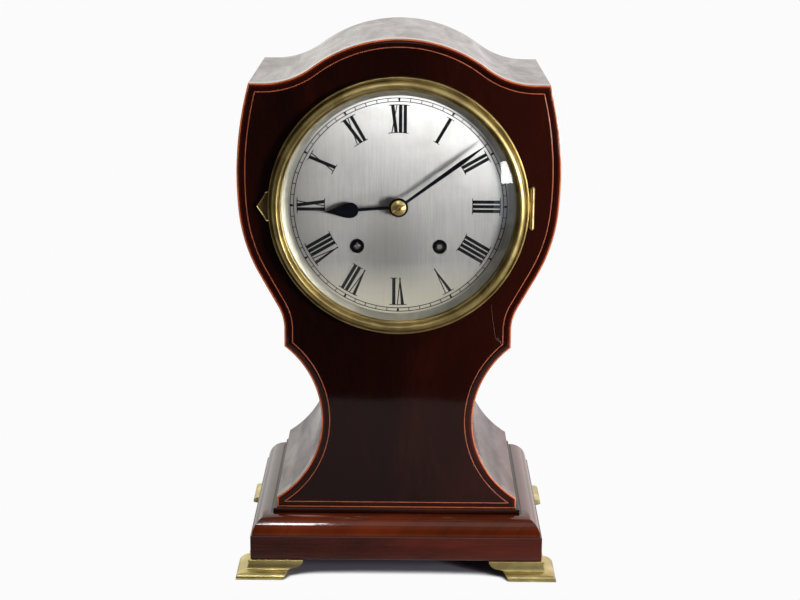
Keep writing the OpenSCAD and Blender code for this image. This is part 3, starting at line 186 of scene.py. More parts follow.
def inset(loop, d):
    """The closed loop moved inwards by d, with mitred corners."""
    area = sum(p[0] * q[1] - q[0] * p[1] for p, q in zip(loop, loop[1:] + loop[:1]))
    side = 1 if area > 0 else -1
    moved = []
    for i, p in enumerate(loop):
        before, after = loop[i - 1], loop[(i + 1) % len(loop)]
        n0 = Vector((before[1] - p[1], p[0] - before[0])).normalized() * side
        n1 = Vector((p[1] - after[1], after[0] - p[0])).normalized() * side
        step = (n0 + n1) * (d / max(0.35, 1 + n0.dot(n1)))
        moved.append((p[0] + step.x, p[1] + step.y))
    return moved


# Mesh making
def upright(p, f):
    """A point of the front view, f behind the front face."""
    return Vector((p[0], FRONT + f, p[1])) * MM


def in_plan(p, z):
    return Vector((p[0], p[1], z)) * MM


class Shape:
    """A mesh in the making. Each vertex also keeps a place along and across the piece."""

    def __init__(self):
        self.bm = bmesh.new()
        self.flow = self.bm.verts.layers.float_vector.new("flow")

    def ring(self, points, flows=None):
        made = []
        length = 0.0
        for i, p in enumerate(points):
            v = self.bm.verts.new(p)
            length += (p - points[i - 1]).length if i else 0.0
            v[self.flow] = flows[i] if flows else (length, 0.0, 0.0)
            made.append(v)
        return made

    def bridge(self, a, b, closed=True):
        n = len(a)
        for i in range(n if closed else n - 1):
            j = (i + 1) % n
            self.bm.faces.new((a[i], a[j], b[j], b[i]))

    def skin(self, rings, round_again=False, closed=True):
        """Joins the rings one after the other, and the last to the first if round_again."""
        for a, b in zip(rings, rings[1:] + rings[:1] if round_again else rings[1:]):
            self.bridge(a, b, closed)

    def rod(self, rings):
        """A solid from lines along its length, with both ends closed."""
        self.skin(rings, round_again=True, closed=False)
        self.cap([r[0] for r in rings])
        self.cap([r[-1] for r in rings])
        return self

    def cap(self, *loops):
        flat = [v for loop in loops for v in loop]
        for tri in tessellate_polygon([[v.co for v in loop] for loop in loops]):
            corners = [flat[i] for i in tri]
            if len(set(corners)) == 3 and not self.bm.faces.get(corners):
                self.bm.faces.new(corners)

    def prism(self, outer, holes, place, w0, w1, b0=0.0, b1=0.0):
        """A slab between w0 and w1, its edges eased by b0 and b1."""
        loops = [(cleaned(outer), 1)] + [(cleaned(h), -1) for h in holes]
        ends = ([], [])
        for loop, way in loops:
            rows = []
            for w, d in ((w0, b0), (w0 + b0, 0), (w1 - b1, 0), (w1, b1)):
                if rows and rows[-1][0] == (w, d):
                    continue
                at = inset(loop, d * way) if d else loop
                rows.append(((w, d), self.ring([place(p, w) for p in at])))
            for a, b in zip(rows, rows[1:]):
                self.bridge(a[1], b[1])
            ends[0].append(rows[0][1])
            ends[1].append(rows[-1][1])
        self.cap(*ends[0])
        self.cap(*ends[1])
        return self

    def turned(self, profile, n=288):
        """A closed profile of radius and forward reach, turned round the dial's axis."""
        rings = [self.ring([upright(p, -f) for p in circle(r, n)]) for r, f in profile]
        self.skin(rings, round_again=True)
        return self

    def swept(self, profile, path):
        """A closed profile of outward reach and height, along path(out, z), with closed ends."""
        return self.rod([self.ring(path(out, z)) for out, z in profile])

    def piece(self, name, material, body, slot, replaces=(), angle=32.0):
        bm = self.bm
        bmesh.ops.remove_doubles(bm, verts=bm.verts, dist=1e-7)
        bmesh.ops.dissolve_degenerate(bm, edges=bm.edges, dist=1e-8)
        bmesh.ops.recalc_face_normals(bm, faces=bm.faces)
        mesh = bpy.data.meshes.new(name)
        bm.to_mesh(mesh)
        bm.free()
        smooth(mesh, angle)
        mesh.materials.append(material)
        obj = bpy.data.objects.new(name, mesh)
        bpy.context.scene.collection.objects.link(obj)
        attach(obj, body)
        if replaces:
            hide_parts(*replaces)
        return obj


def smooth(mesh, angle):
    mesh.shade_smooth()
    mesh.set_sharp_from_angle(angle=math.radians(angle))


# Materials
class Nodes:
    """The shader nodes of a material, or of the world, in the making."""

    def __init__(self, tree):
        self.tree = tree
        self.tree.nodes.clear()

    def node(self, kind, inputs=None, **props):
        made = self.tree.nodes.new("ShaderNode" + kind)
        for key, value in props.items():
            setattr(made, key, value)
        for key, value in (inputs or {}).items():
            if isinstance(value, bpy.types.NodeSocket):
                self.tree.links.new(value, made.inputs[key])
            else:
                made.inputs[key].default_value = value
        return made

    def place(self, scale=(1, 1, 1), flow=False, offset=(0, 0, 0)):
        """Where a point lies on the piece, stretched by scale."""
        if flow:
            base = self.node("Attribute", attribute_name="flow").outputs["Vector"]
        else:
            base = self.node("TexCoord").outputs["Object"]
        inputs = {"Vector": base, "Scale": scale, "Location": offset}
        return self.node("Mapping", inputs).outputs[0]

    def axis(self, place, k):
        """One of a place's three coordinates."""
        return self.node("SeparateXYZ", {0: place}).outputs[k]

    def noise(self, place, scale, detail=4.0, rough=0.55, warp=0.0):
        inputs = {"Vector": place, "Scale": scale, "Detail": detail}
        inputs.update({"Roughness": rough, "Distortion": warp})
        return self.node("TexNoise", inputs).outputs[0]

    def ramp(self, value, stops):
        """stops: (place, grey or colour)."""
        made = self.node("ValToRGB", {"Fac": value})
        bar = made.color_ramp
        while len(bar.elements) < len(stops):
            bar.elements.new(0.5)
        for element, (at, colour) in zip(bar.elements, stops):
            element.position = at
            if not hasattr(colour, "__len__"):
                colour = (colour, colour, colour)
            element.color = (*colour, 1)
        return made.outputs[0]

    def mix(self, factor, a, b, how="MIX"):
        made = self.node("Mix", data_type="RGBA", blend_type=how)
        for at, value in ((0, factor), (6, a), (7, b)):
            if isinstance(value, bpy.types.NodeSocket):
                self.tree.links.new(value, made.inputs[at])
            elif at and len(value) == 3:
                made.inputs[at].default_value = (*value, 1)
            else:
                made.inputs[at].default_value = value
        return made.outputs[2]

    def maths(self, how, a, b=0.0, clamp=False):
        made = self.node("Math", {0: a, 1: b}, operation=how)
        made.use_clamp = clamp
        return made.outputs[0]

    def span(self, value, low, high):
        """value, from 0 to 1, stretched to low to high."""
        return self.node("MapRange", {"Value": value, "To Min": low, "To Max": high}).outputs[0]

    def rise(self, value, start, end, top=1.0, how="SMOOTHSTEP"):
        """From 0 where value is start to top where it is end."""
        inputs = {"Value": value, "From Min": start, "From Max": end, "To Max": top}
        return self.node("MapRange", inputs, interpolation_type=how).outputs[0]

    def bump(self, height, strength, distance):
        inputs = {"Height": height, "Strength": strength, "Distance": distance}
        return self.node("Bump", inputs).outputs[0]

    def seen_directly(self):
        """1 for rays that come straight from the camera or through glass alone."""
        ray = self.node("LightPath")
        bounced = self.maths("ADD", ray.outputs["Diffuse Depth"], ray.outputs["Glossy Depth"])
        straight = self.maths("LESS_THAN", bounced, 0.5)
        through_glass = self.maths("MULTIPLY", ray.outputs["Is Transmission Ray"], straight)
        return self.maths("MAXIMUM", ray.outputs["Is Camera Ray"], through_glass)


class Looks(Nodes):
    """A node material in the making."""

    def __init__(self, name):
        self.mat = bpy.data.materials.new(name)
        self.mat.use_nodes = True
        super().__init__(self.mat.node_tree)
        self.out = self.node("OutputMaterial")

    def made(self, shader):
        """The material, with this shader on its surface."""
        self.tree.links.new(shader.outputs[0], self.out.inputs[0])
        return self.mat

    def surface(self, **inputs):
        named = {key.replace("_", " "): value for key, value in inputs.items()}
        for key, value in named.items():
            if "Color" in key or "Tint" in key:
                if hasattr(value, "__len__") and len(value) == 3:
                    named[key] = (*value, 1)
        return self.made(self.node("BsdfPrincipled", named))


def wood(
    name,
    tones,
    run,
    flow=False,
    figure=16.0,
    polish=0.05,
    coat=1.0,
    worn=0.0,
    depth=0.5,
    painted_side_light=None,
    rim=None,
):
    """Polished veneer. tones: dark, middle, red. run: the scale along each axis, small along
    the grain. worn: how much of the polish is lost in dull patches. painted_side_light: from, to
    and colour of painted light, a tone added across the width that makes the right side lighter.
    rim: from, to and colour of a tone added from a strip's inside to its edge."""
    m = Looks(name)
    where = m.place(run, flow)
    broad = m.noise(m.place(tuple(0.35 + 0.65 * s for s in run), flow), figure, 3.0, 0.5, 1.2)
    grain = m.noise(where, 620.0, 5.0, 0.6, 0.4)
    fine = m.noise(where, 2300.0, 3.0, 0.7)
    pores = m.ramp(m.noise(where, 3300.0, 2.0, 0.5), [(0.28, 0.0), (0.4, 1.0)])
    mixed = m.maths("ADD", m.maths("MULTIPLY", broad, 0.65), m.maths("MULTIPLY", grain, 0.35))
    colour = m.ramp(mixed, [(0.36, tones[0]), (0.52, tones[1]), (0.70, tones[2])])
    colour = m.mix(m.span(pores, 0.4, 0.0), colour, tuple(c * 0.3 for c in tones[0]))
    colour = m.mix(m.ramp(fine, [(0.45, 0.0), (0.8, 0.4)]), colour, tones[2])
    # Painted light: a tone added along the width, lighter towards the right
    if painted_side_light:
        start, end, tone = painted_side_light
        colour = m.mix(m.rise(m.axis(m.place(), 0), start, end, 0.75), colour, tone, "ADD")
    if rim:
        start, end, tone = rim
        colour = m.mix(m.rise(m.axis(m.place(flow=True), 1), start, end), colour, tone, "ADD")
    waves = m.noise(m.place(), 46.0, 2.0, 0.4)
    scuffs = m.ramp(m.noise(m.place((1, 1, 5)), 420.0, 4.0, 0.8), [(0.55, 0.0), (0.8, 1.0)])
    if worn:
        dull = m.noise(m.place((1, 0.35, 1)), 55.0, 6.0, 0.7, 0.6)
        coat = m.ramp(dull, [(0.38, coat * (1 - worn)), (0.62, coat)])
    return m.surface(
        Base_Color=colour,
        Roughness=m.span(grain, 0.45, 0.65),
        Normal=m.bump(m.mix(0.5, grain, pores), 0.25 * depth, 0.00012),
        Specular_IOR_Level=0.0,
        Coat_Weight=coat,
        Coat_Roughness=polish,
        Coat_IOR=1.5,
        Coat_Normal=m.bump(m.mix(0.06, waves, scuffs), 0.15, 0.00035),
    )


def brass(name, bright, dull, rough=(0.2, 0.42), age=0.5, turned=False, patch=60.0):
    """Old brass, lacquer worn: brighter where it is rubbed, brown where it isn't."""
    m = Looks(name)
    cloud = m.noise(m.place(), patch, 3.0, 0.5, 0.4)
    spots = m.ramp(m.noise(m.place(), 900.0, 3.0, 0.7), [(0.62, 0.0), (0.78, 1.0)])
    tone = m.ramp(cloud, [(0.36, dull), (0.36 + 0.32 * (1.2 - age), bright)])
    tone = m.mix(m.span(spots, 0.0, 0.55 * age), tone, tuple(c * 0.45 for c in dull))
    if turned:
        moved = m.place((1, 0, 1), offset=(0, 0, -DIAL_Z * MM))
        radius = m.node("VectorMath", {0: moved}, operation="LENGTH").outputs["Value"]
        inputs = {"W": radius, "Scale": 5200.0, "Detail": 3.0}
        lines = m.node("TexNoise", inputs, noise_dimensions="1D").outputs[0]
    else:
        lines = m.noise(m.place(), 1500.0, 4.0, 0.7)
    marks = m.noise(m.place((1, 6, 1)), 300.0, 4.0, 0.75)
    plain = m.span(cloud, rough[1], rough[0])
    return m.surface(
        Base_Color=tone,
        Metallic=1.0,
        Roughness=m.maths("ADD", plain, m.span(spots, 0.0, 0.18), clamp=True),
        Normal=m.bump(m.mix(0.4, lines, marks), 0.12, 0.00003),
    )


def metal(name, dark, light, rough, metallic=1.0, depth=0.2):
    m = Looks(name)
    streaks = m.noise(m.place(), 500.0, 4.0, 0.65)
    cloud = m.noise(m.place(), 70.0, 4.0, 0.6)
    both = m.mix(0.5, streaks, cloud)
    return m.surface(
        Base_Color=m.ramp(both, [(0.35, dark), (0.65, light)]),
        Metallic=metallic,
        Roughness=m.span(both, rough[1], rough[0]),
        Normal=m.bump(streaks, depth, 0.00006),
    )


mats = {}
mats["front"] = wood(
    "polished_mahogany_front",
    ((0.0036, 0.0008, 0.0006), (0.0075, 0.0014, 0.0009), (0.020, 0.0030, 0.0016)),
    (1, 1, 0.12),
    # Painted light: the front board lighter towards its right side
    painted_side_light=(-0.01, 0.10, (0.017, 0.0024, 0.0011)),
)
mats["sides"] = wood(
    "polished_mahogany_sides",
    ((0.016, 0.0040, 0.0022), (0.034, 0.0080, 0.0042), (0.075, 0.016, 0.0075)),
    (0.06, 1, 1),
    flow=True,
    polish=0.13,
    coat=0.92,
    worn=0.3,
)
mats["back"] = wood(
    "mahogany_back",
    ((0.030, 0.010, 0.0055), (0.060, 0.020, 0.010), (0.105, 0.036, 0.017)),
    (1, 1, 0.05),
    polish=0.28,
    coat=0.35,
    depth=1.0,
)
mats["base"] = wood(
    "polished_mahogany_base",
    ((0.018, 0.0036, 0.0021), (0.041, 0.0066, 0.0036), (0.078, 0.0115, 0.0052)),
    (0.05, 1, 1),
    figure=22.0,
    polish=0.07,
    # Painted light: the base lighter towards its right side
    painted_side_light=(-0.09, 0.09, (0.018, 0.0026, 0.0012)),
)
mats["moulding"] = wood(
    "polished_mahogany_moulding",
    ((0.028, 0.0052, 0.0014), (0.062, 0.0090, 0.0018), (0.120, 0.0170, 0.0034)),
    (0.05, 1, 1),
    flow=True,
    figure=22.0,
    polish=0.05,
)
# Painted shade: the base board at the step under the body gets darker tones than the base, for the
# shade there
mats["ledge"] = wood(
    "mahogany_ledge_painted_shade",
    ((0.006, 0.0014, 0.0009), (0.014, 0.0026, 0.0014), (0.030, 0.0048, 0.0022)),
    (0.05, 1, 1),
    polish=0.12,
    coat=0.6,
)
mats["crossband"] = wood(
    "dark_crossband",
    ((0.005, 0.0009, 0.0006), (0.012, 0.0017, 0.0010), (0.024, 0.0034, 0.0017)),
    (1, 0.05, 1),
    flow=True,
    rim=(0.0029, 0.0010, (0.052, 0.006, 0.002)),
)


def boxwood(name, pale, dark):
    """A stained light line with its short grain, darker where dirt has settled."""
    m = Looks(name)
    where = m.place((0.08, 1, 1), flow=True)
    grain = m.noise(where, 900.0, 4.0, 0.65)
    dirt = m.noise(m.place(), 130.0, 4.0, 0.7)
    tone = m.ramp(grain, [(0.3, dark), (0.7, pale)])
    tone = m.mix(m.ramp(dirt, [(0.5, 0.0), (0.78, 0.8)]), tone, (0.10, 0.017, 0.008))
    return m.surface(
        Base_Color=tone,
        Roughness=m.span(grain, 0.3, 0.5),
        Normal=m.bump(grain, 0.2, 0.00008),
        Coat_Weight=0.8,
        Coat_Roughness=0.09,
    )


def silvered():
    """A silvered brass plate, brushed upright, with light and shade painted on its colour: painted
    shade under its centre and at the left, a painted highlight at the upper right and a painted
    pale yellow reflection at the foot."""
    m = Looks("silvered_dial")
    brush = m.noise(m.place((1, 1, 0.018)), 2600.0, 4.0, 0.7)
    brush_wide = m.noise(m.place((1, 1, 0.03)), 520.0, 3.0, 0.6)
    cloud = m.noise(m.place(), 26.0, 5.0, 0.65, 0.5)
    speck = m.ramp(m.noise(m.place(), 1100.0, 2.0, 0.6), [(0.66, 0.0), (0.76, 1.0)])
    both = m.mix(0.18, brush, brush_wide)
    tone = m.ramp(both, [(0.3, (0.36, 0.355, 0.345)), (0.7, (0.50, 0.493, 0.48))])
    # Painted shade: darker round a spot some 30 mm under the centre
    centre = m.place((1.2, 1, 1), offset=(0.007, -FRONT * MM, 0.030 - DIAL_Z * MM))
    shade_spot_distance = m.node("VectorMath", {0: centre}, operation="LENGTH").outputs["Value"]
    tone = m.mix(m.rise(shade_spot_distance, 0.042, 0.004, 0.55), tone, (0.15, 0.135, 0.128))
    # Painted highlight: lighter towards the upper right
    slope = m.place((0.5, 1, 1), offset=(0, 0, -DIAL_Z * MM))
    highlight_rise = m.maths("ADD", m.axis(slope, 0), m.axis(slope, 2))
    tone = m.mix(m.rise(highlight_rise, 0.005, 0.08, 0.75), tone, (0.88, 0.875, 0.865))
    tone = m.mix(m.ramp(cloud, [(0.46, 0.0), (0.8, 0.45)]), tone, (0.27, 0.262, 0.24))
    # Painted reflection: pale yellow, growing towards the foot
    height = m.axis(m.place(offset=(0, 0, -DIAL_Z * MM)), 2)
    tone = m.mix(m.rise(height, -0.036, -0.074, 0.8, "LINEAR"), tone, (0.92, 0.88, 0.68))
    # Painted shade: darker towards the left edge
    across = m.axis(m.place(), 0)
    tone = m.mix(m.rise(across, -0.036, -0.074, 0.6), tone, (0.15, 0.146, 0.136))
    tone = m.mix(m.maths("MULTIPLY", speck, 0.35), tone, (0.16, 0.15, 0.13))
    return m.surface(
        Base_Color=tone,
        Metallic=0.85,
        Roughness=m.span(both, 0.43, 0.35),
        Normal=m.bump(both, 0.07, 0.00004),
        Anisotropic=0.88,
        Tangent=m.node("CombineXYZ", {"X": 1.0}).outputs[0],
    )


def black_wax():
    m = Looks("black_wax")
    worn = m.noise(m.place(), 260.0, 4.0, 0.7)
    fine = m.noise(m.place(), 2400.0, 2.0, 0.6)
    tone = m.ramp(worn, [(0.5, (0.002, 0.002, 0.003)), (0.85, (0.02, 0.02, 0.02))])
    return m.surface(
        Base_Color=tone,
        Roughness=m.span(worn, 0.45, 0.7),
        Normal=m.bump(fine, 0.3, 0.00003),
        Specular_IOR_Level=0.1,
    )


def glass():
    """Clear glass that lets the lamps through."""
    m = Looks("clear_glass")
    ripple = m.noise(m.place(), 30.0, 2.0, 0.4)
    inputs = {"Base Color": (1, 1, 1, 1), "Transmission Weight": 1.0, "Roughness": 0.0}
    inputs.update({"IOR": 1.5, "Normal": m.bump(ripple, 0.01, 0.0001)})
    shader = m.node("BsdfPrincipled", inputs)
    ray = m.node("LightPath")
    clear = m.node("BsdfTransparent", {"Color": (0.97, 0.975, 0.97, 1)})
    passing = m.maths("MAXIMUM", ray.outputs["Is Shadow Ray"], ray.outputs["Is Diffuse Ray"])
    return m.made(m.node("MixShader", {0: passing, 1: shader.outputs[0], 2: clear.outputs[0]}))


def matt(name, scale, tones, rough, depth):
    """A dull fine-grained stuff. tones: as a ramp's stops."""
    m = Looks(name)
    grain = m.noise(m.place(), scale, 4.0, 0.7)
    return m.surface(
        Base_Color=m.ramp(grain, tones),
        Roughness=m.span(grain, *rough),
        Normal=m.bump(grain, depth, 0.0001),
    )


mats["edge_line"] = boxwood("boxwood_edge_line", (0.62, 0.155, 0.045), (0.34, 0.066, 0.020))
mats["inner_line"] = boxwood("boxwood_inner_line", (0.42, 0.108, 0.040), (0.22, 0.048, 0.019))
mats["silver"] = silvered()
mats["wax"] = black_wax()
mats["glass"] = glass()
mats["bezel"] = brass(
    "aged_brass_bezel", (0.54, 0.425, 0.175), (0.28, 0.21, 0.08), (0.38, 0.48), 0.4, turned=True
)
mats["slip"] = brass(
    "silvered_slip", (0.50, 0.485, 0.40), (0.34, 0.33, 0.27), (0.3, 0.4), 0.3, turned=True
)
mats["dull_brass"] = brass(
    "dull_brass_field", (0.20, 0.145, 0.06), (0.09, 0.06, 0.025), (0.4, 0.55)
)
mats["fittings"] = brass(
    "aged_brass_fittings", (0.56, 0.42, 0.17), (0.20, 0.13, 0.05), (0.25, 0.45)
)
mats["feet"] = brass(
    "worn_brass_feet", (0.68, 0.57, 0.25), (0.44, 0.36, 0.145), (0.3, 0.4), 0.25, patch=70.0
)
mats["collet"] = brass("bright_brass", (0.80, 0.62, 0.25), (0.50, 0.36, 0.13), (0.24, 0.34), 0.2)
mats["works"] = brass(
    "movement_brass", (0.76, 0.58, 0.25), (0.50, 0.36, 0.13), (0.18, 0.34), 0.25, patch=35.0
)
mats["blued"] = metal(
    "blued_steel", (0.004, 0.0042, 0.008), (0.010, 0.011, 0.020), (0.22, 0.4), metallic=0.9
)
mats["dark_steel"] = metal("dark_steel", (0.08, 0.08, 0.085), (0.22, 0.22, 0.225), (0.4, 0.55))
mats["steel"] = metal("polished_steel", (0.30, 0.30, 0.31), (0.56, 0.56, 0.57), (0.2, 0.4))
mats["gong"] = metal("blued_gong_wire", (0.02, 0.024, 0.035), (0.07, 0.08, 0.11), (0.3, 0.5))
mats["iron"] = metal(
    "black_iron", (0.012, 0.012, 0.013), (0.04, 0.04, 0.042), (0.5, 0.75), metallic=0.5, depth=0.6
)
dust_tones = [(0.4, (0.010, 0.006, 0.004)), (0.7, (0.16, 0.10, 0.07))]
near_black_tones = [(0.4, (0.0015, 0.0010, 0.0008)), (0.7, (0.006, 0.003, 0.002))]
scuff_tones = [(0.4, (0.10, 0.035, 0.015)), (0.65, (0.46, 0.33, 0.25))]
mats["dust"] = matt("dust_in_a_crack", 1800.0, dust_tones, (0.6, 0.9), 0.5)
mats["near_black_mark"] = matt("near_black_mark", 1800.0, near_black_tones, (0.6, 0.9), 0.5)
mats["scuff"] = matt("scuffed_wood", 1400.0, scuff_tones, (0.5, 0.8), 0.4)


# The case
def lengths(loop):
    total, out = 0.0, []
    for i, p in enumerate(loop):
        total += math.dist(p, loop[i - 1]) if i else 0.0
        out.append(total * MM)
    return out


def inlay(name, outer, inner, material, slot, ease_out):
    """A strip let into the front, flush, between two insets of the outline. Its flow runs
    along the strip, then inwards, then back. ease_out: how far the outer edge is rounded."""
    shape = Shape()
    along = lengths(outline(*outer))
    rings = []
    for (d, low), more, f in (
        (outer, 0.0, INLAY_T),
        (outer, 0.0, ease_out),
        (outer, ease_out * 0.35, ease_out * 0.3),
        (outer, ease_out, 0.0),
        (inner, -INLAY_EASE, 0.0),
        (inner, 0.0, INLAY_EASE),
        (inner, 0.0, INLAY_T),
    ):
        flows = [(s, (d + more) * MM, f * MM) for s in along]
        loop = outline(d + more, low + more)
        rings.append(shape.ring([upright(p, f) for p in loop], flows))
    shape.skin(rings, round_again=True)
    shape.piece(name + "_fine", mats[material], "case", slot, [name])


def front_board():
    """The board in its inlays, with the rebated hole for the dial."""
    shape = Shape()
    edge = [
        shape.ring([upright(p, f) for p in outline(d, low)])
        for d, low, f in (
            (0, 0, FRONT_T),
            (0, 0, INLAY_T),
            (*INNER_LINE, INLAY_T),
            (*INNER_LINE, INLAY_EASE),
            (INNER_LINE[0] + INLAY_EASE, INNER_LINE[1] + INLAY_EASE, 0),
        )
    ]
    shape.skin(edge)
    wide, narrow = DIAL_R + DIAL_FIT, DIAL_R - DIAL_SEAT
    hole = [
        shape.ring([upright(p, f) for p in circle(r)])
        for r, f in ((wide, 0), (wide, DIAL_REBATE), (narrow, DIAL_REBATE), (narrow, FRONT_T))
    ]
    shape.skin(hole)
    shape.cap(edge[-1], hole[0])
    shape.cap(edge[0], hole[-1])
    shape.piece("front_board_fine", mats["front"], "case", "mahogany", ["front_board"])


def panel(name, loop):
    Shape().prism(loop, [], upright, FRONT_T, CASE_D, 0.1, 0.7).piece(
        name + "_fine", mats["sides"], "case", "mahogany", [name]
    )


front_board()
inlay("edge_stringing", (0, 0), EDGE_LINE, "edge_line", "boxwood", 0.45)
inlay("crossbanding", EDGE_LINE, DARK_BAND, "crossband", "crossband", INLAY_EASE)
inlay("inner_stringing", DARK_BAND, INNER_LINE, "inner_line", "boxwood", INLAY_EASE)
side = side_line(0, BODY_LOW) + list(reversed(side_line(SKIN, BODY_LOW)))
panel("right_side", side)
panel("left_side", [(-x, z) for x, z in side])
half, inner_half = top_half(0), top_half(SKIN)
panel(
    "top_panel",
    mirrored(half) + half[1:] + list(reversed(mirrored(inner_half) + inner_half[1:])),
)

def door_outline(d):
    return rounded(DOOR_X - d, DOOR_LOW + d, DOOR_HIGH - d, DOOR_CORNER - d)


def back_board():
    """The board with its lipped opening, and the door in it."""
    shape = Shape()
    near, far = CASE_D - BACK_T, CASE_D
    step = CASE_D - DOOR_T - DOOR_SEAT
    small, wide = door_outline(DOOR_LIP), door_outline(0)
    edge = cleaned(outline(SKIN))
    outer = [shape.ring([upright(p, f) for p in edge]) for f in (near, far)]
    hole = [
        shape.ring([upright(p, f) for p in loop])
        for loop, f in ((small, near), (small, step), (wide, step), (wide, far))
    ]
    shape.bridge(*outer)
    shape.skin(hole)
    shape.cap(outer[0], hole[0])
    shape.cap(outer[1], hole[-1])
    shape.piece("back_board_fine", mats["back"], "case", "mahogany", ["back_board"])
    Shape().prism(door_outline(DOOR_GAP), [], upright, CASE_D - DOOR_T, CASE_D, 0.3, 0.6).piece(
        "back_door_fine", mats["back"], "door", "mahogany", ["back_door"]
    )


back_board()


# The base
def rectangle(x, y0, y1, r=0.0):
    if not r:
        return [(x, y0), (x, y1), (-x, y1), (-x, y0)]
    return (
        arc((x - r, y0 + r), r, -90, 0, 6)
        + arc((x - r, y1 - r), r, 0, 90, 6)
        + arc((r - x, y1 - r), r, 90, 180, 6)
        + arc((r - x, y0 + r), r, 180, 270, 6)
    )


def round_three_sides(out, z):
    """Along the left side from the back, across the front and back along the right side."""
    x, y = CORE_X + out, CORE_FRONT - out
    steps = 12
    left = [(-x, REAR + (y - REAR) * i / steps) for i in range(steps)]
    across = [(-x + 2 * x * i / steps, y) for i in range(steps)]
    right = [(x, y + (REAR - y) * i / steps) for i in range(steps + 1)]
    return [in_plan(p, z) for p in left + across + right]


GLUE = 0.02
core = rectangle(CORE_X - GLUE, CORE_FRONT + GLUE, REAR)
ledge = rectangle(HEM_X + LEDGE, FRONT - LEDGE, REAR, 0.5)
base = Shape()
base.prism(core, [], in_plan, PLINTH_TOP, BOARD_TOP)
base.prism(ledge, [], in_plan, BOARD_TOP, BODY_LOW, 0.35, 0.55)
base.piece("base_board_fine", mats["ledge"], "case", "mahogany", ["base_board"])
quarter = [(OVOLO_R * cosd(a), PLINTH_TOP + OVOLO_R * sind(a)) for a in range(0, 91, 3)]
Shape().swept([(0, PLINTH_TOP)] + quarter, round_three_sides).piece(
    "base_moulding_fine", mats["moulding"], "case", "base_wood", ["base_moulding"]
)
plinth = rectangle(PLINTH_X, PLINTH_FRONT, REAR, 0.8)
well = rectangle(PLINTH_X - PLINTH_WALL, PLINTH_FRONT + PLINTH_WALL, REAR - PLINTH_WALL)
Shape().prism(plinth, [well], in_plan, PLINTH_LOW, PLINTH_TOP, 0.5, 0.5).piece(
    "plinth_fine", mats["base"], "case", "base_wood", ["plinth"]
)

FOOT_H, FOOT_FLARE, FOOT_ARM, FOOT_WALL, FOOT_RAKE, FOOT_PAD = 10.8, 9.1, 34.7, 5.0, 12.6, 16.5


def ogee(a, b, step=6):
    """Half an ogee, a hollow over a swelling, out by a and down by b."""
    turn = range(0, 91, step)
    return [(a / 2 * (1 - cosd(t)), -b / 2 * sind(t)) for t in turn] + [
        (a / 2 * (1 + sind(t)), -b / 2 * (2 - cosd(t))) for t in turn[1:]
    ]


def foot_profile():
    """A fillet, a long shallow hollow, a roll and a low toe."""
    cap, toe, ease, bead = 1.0, 0.9, 0.25, 0.8
    fillet = arc((cap + 0.5 - bead, -bead), bead, 90, -40, 8)
    hollow = [(2.9 * (1 - cosd(t)), -5.6 * sind(t)) for t in range(0, 61, 6)]
    x1, z1 = cap + hollow[-1][0], -cap - 0.35 + hollow[-1][1]
    roll_w, roll_h = FOOT_FLARE - 0.1 - x1, FOOT_H - toe + z1
    roll = [(x1 + roll_w * sind(t), z1 - roll_h * (1 - cosd(t))) for t in range(6, 91, 6)]
    return (
        [(-FOOT_WALL, 0.0)]
        + fillet
        + [(cap + x, z - cap - 0.35) for x, z in hollow]
        + roll
        + [(FOOT_FLARE, toe - FOOT_H - 0.1), (FOOT_FLARE, ease - FOOT_H)]
        + [(FOOT_FLARE - ease, -FOOT_H), (-FOOT_WALL, -FOOT_H)]
    )


waste = [(0.0, 0.0)] + ogee(FOOT_RAKE, FOOT_H)


def arm_end(z):
    """How far the end of an arm leans back at a depth z below the plinth."""
    for (x0, z0), (x1, z1) in zip(waste, waste[1:]):
        if z0 >= z >= z1 and z0 != z1:
            return x0 + (x1 - x0) * (z0 - z) / (z0 - z1)
    return waste[-1][0] if z < -FOOT_H / 2 else 0.0


def foot(name, sx, sy):
    """A bracket foot: two moulded arms and a pad. sx, sy: which corner it stands at."""

    def place(x, y, z):
        px = sx * (PLINTH_X + x)
        py = (PLINTH_FRONT + REAR) / 2 + sy * ((PLINTH_FRONT - REAR) / 2 - y)
        return Vector((px, py, PLINTH_LOW + z)) * MM

    def path(out, z):
        end = arm_end(z) - FOOT_ARM
        n = 8
        front = [place(end + (out - end) * i / n, out, z) for i in range(n)]
        side = [place(out, out + (end - out) * i / n, z) for i in range(n + 1)]
        return front + side

    shape = Shape()
    shape.swept(foot_profile(), path)
    pad = [(-FOOT_PAD, 0), (0, 0), (0, -FOOT_PAD), (-FOOT_PAD, -FOOT_PAD)]
    shape.prism(inset(pad, 0.3), [], lambda p, z: place(p[0], p[1], z), -2.0, -0.02, 0.2, 0.0)
    shape.piece(name + "_fine", mats["feet"], "case", "aged_brass", [name], angle=40)


for name, sx, sy in (
    ("foot_front_left", -1, 1),
    ("foot_front_right", 1, 1),
    ("foot_back_left", -1, -1),
    ("foot_back_right", 1, -1),
):
    foot(name, sx, sy)


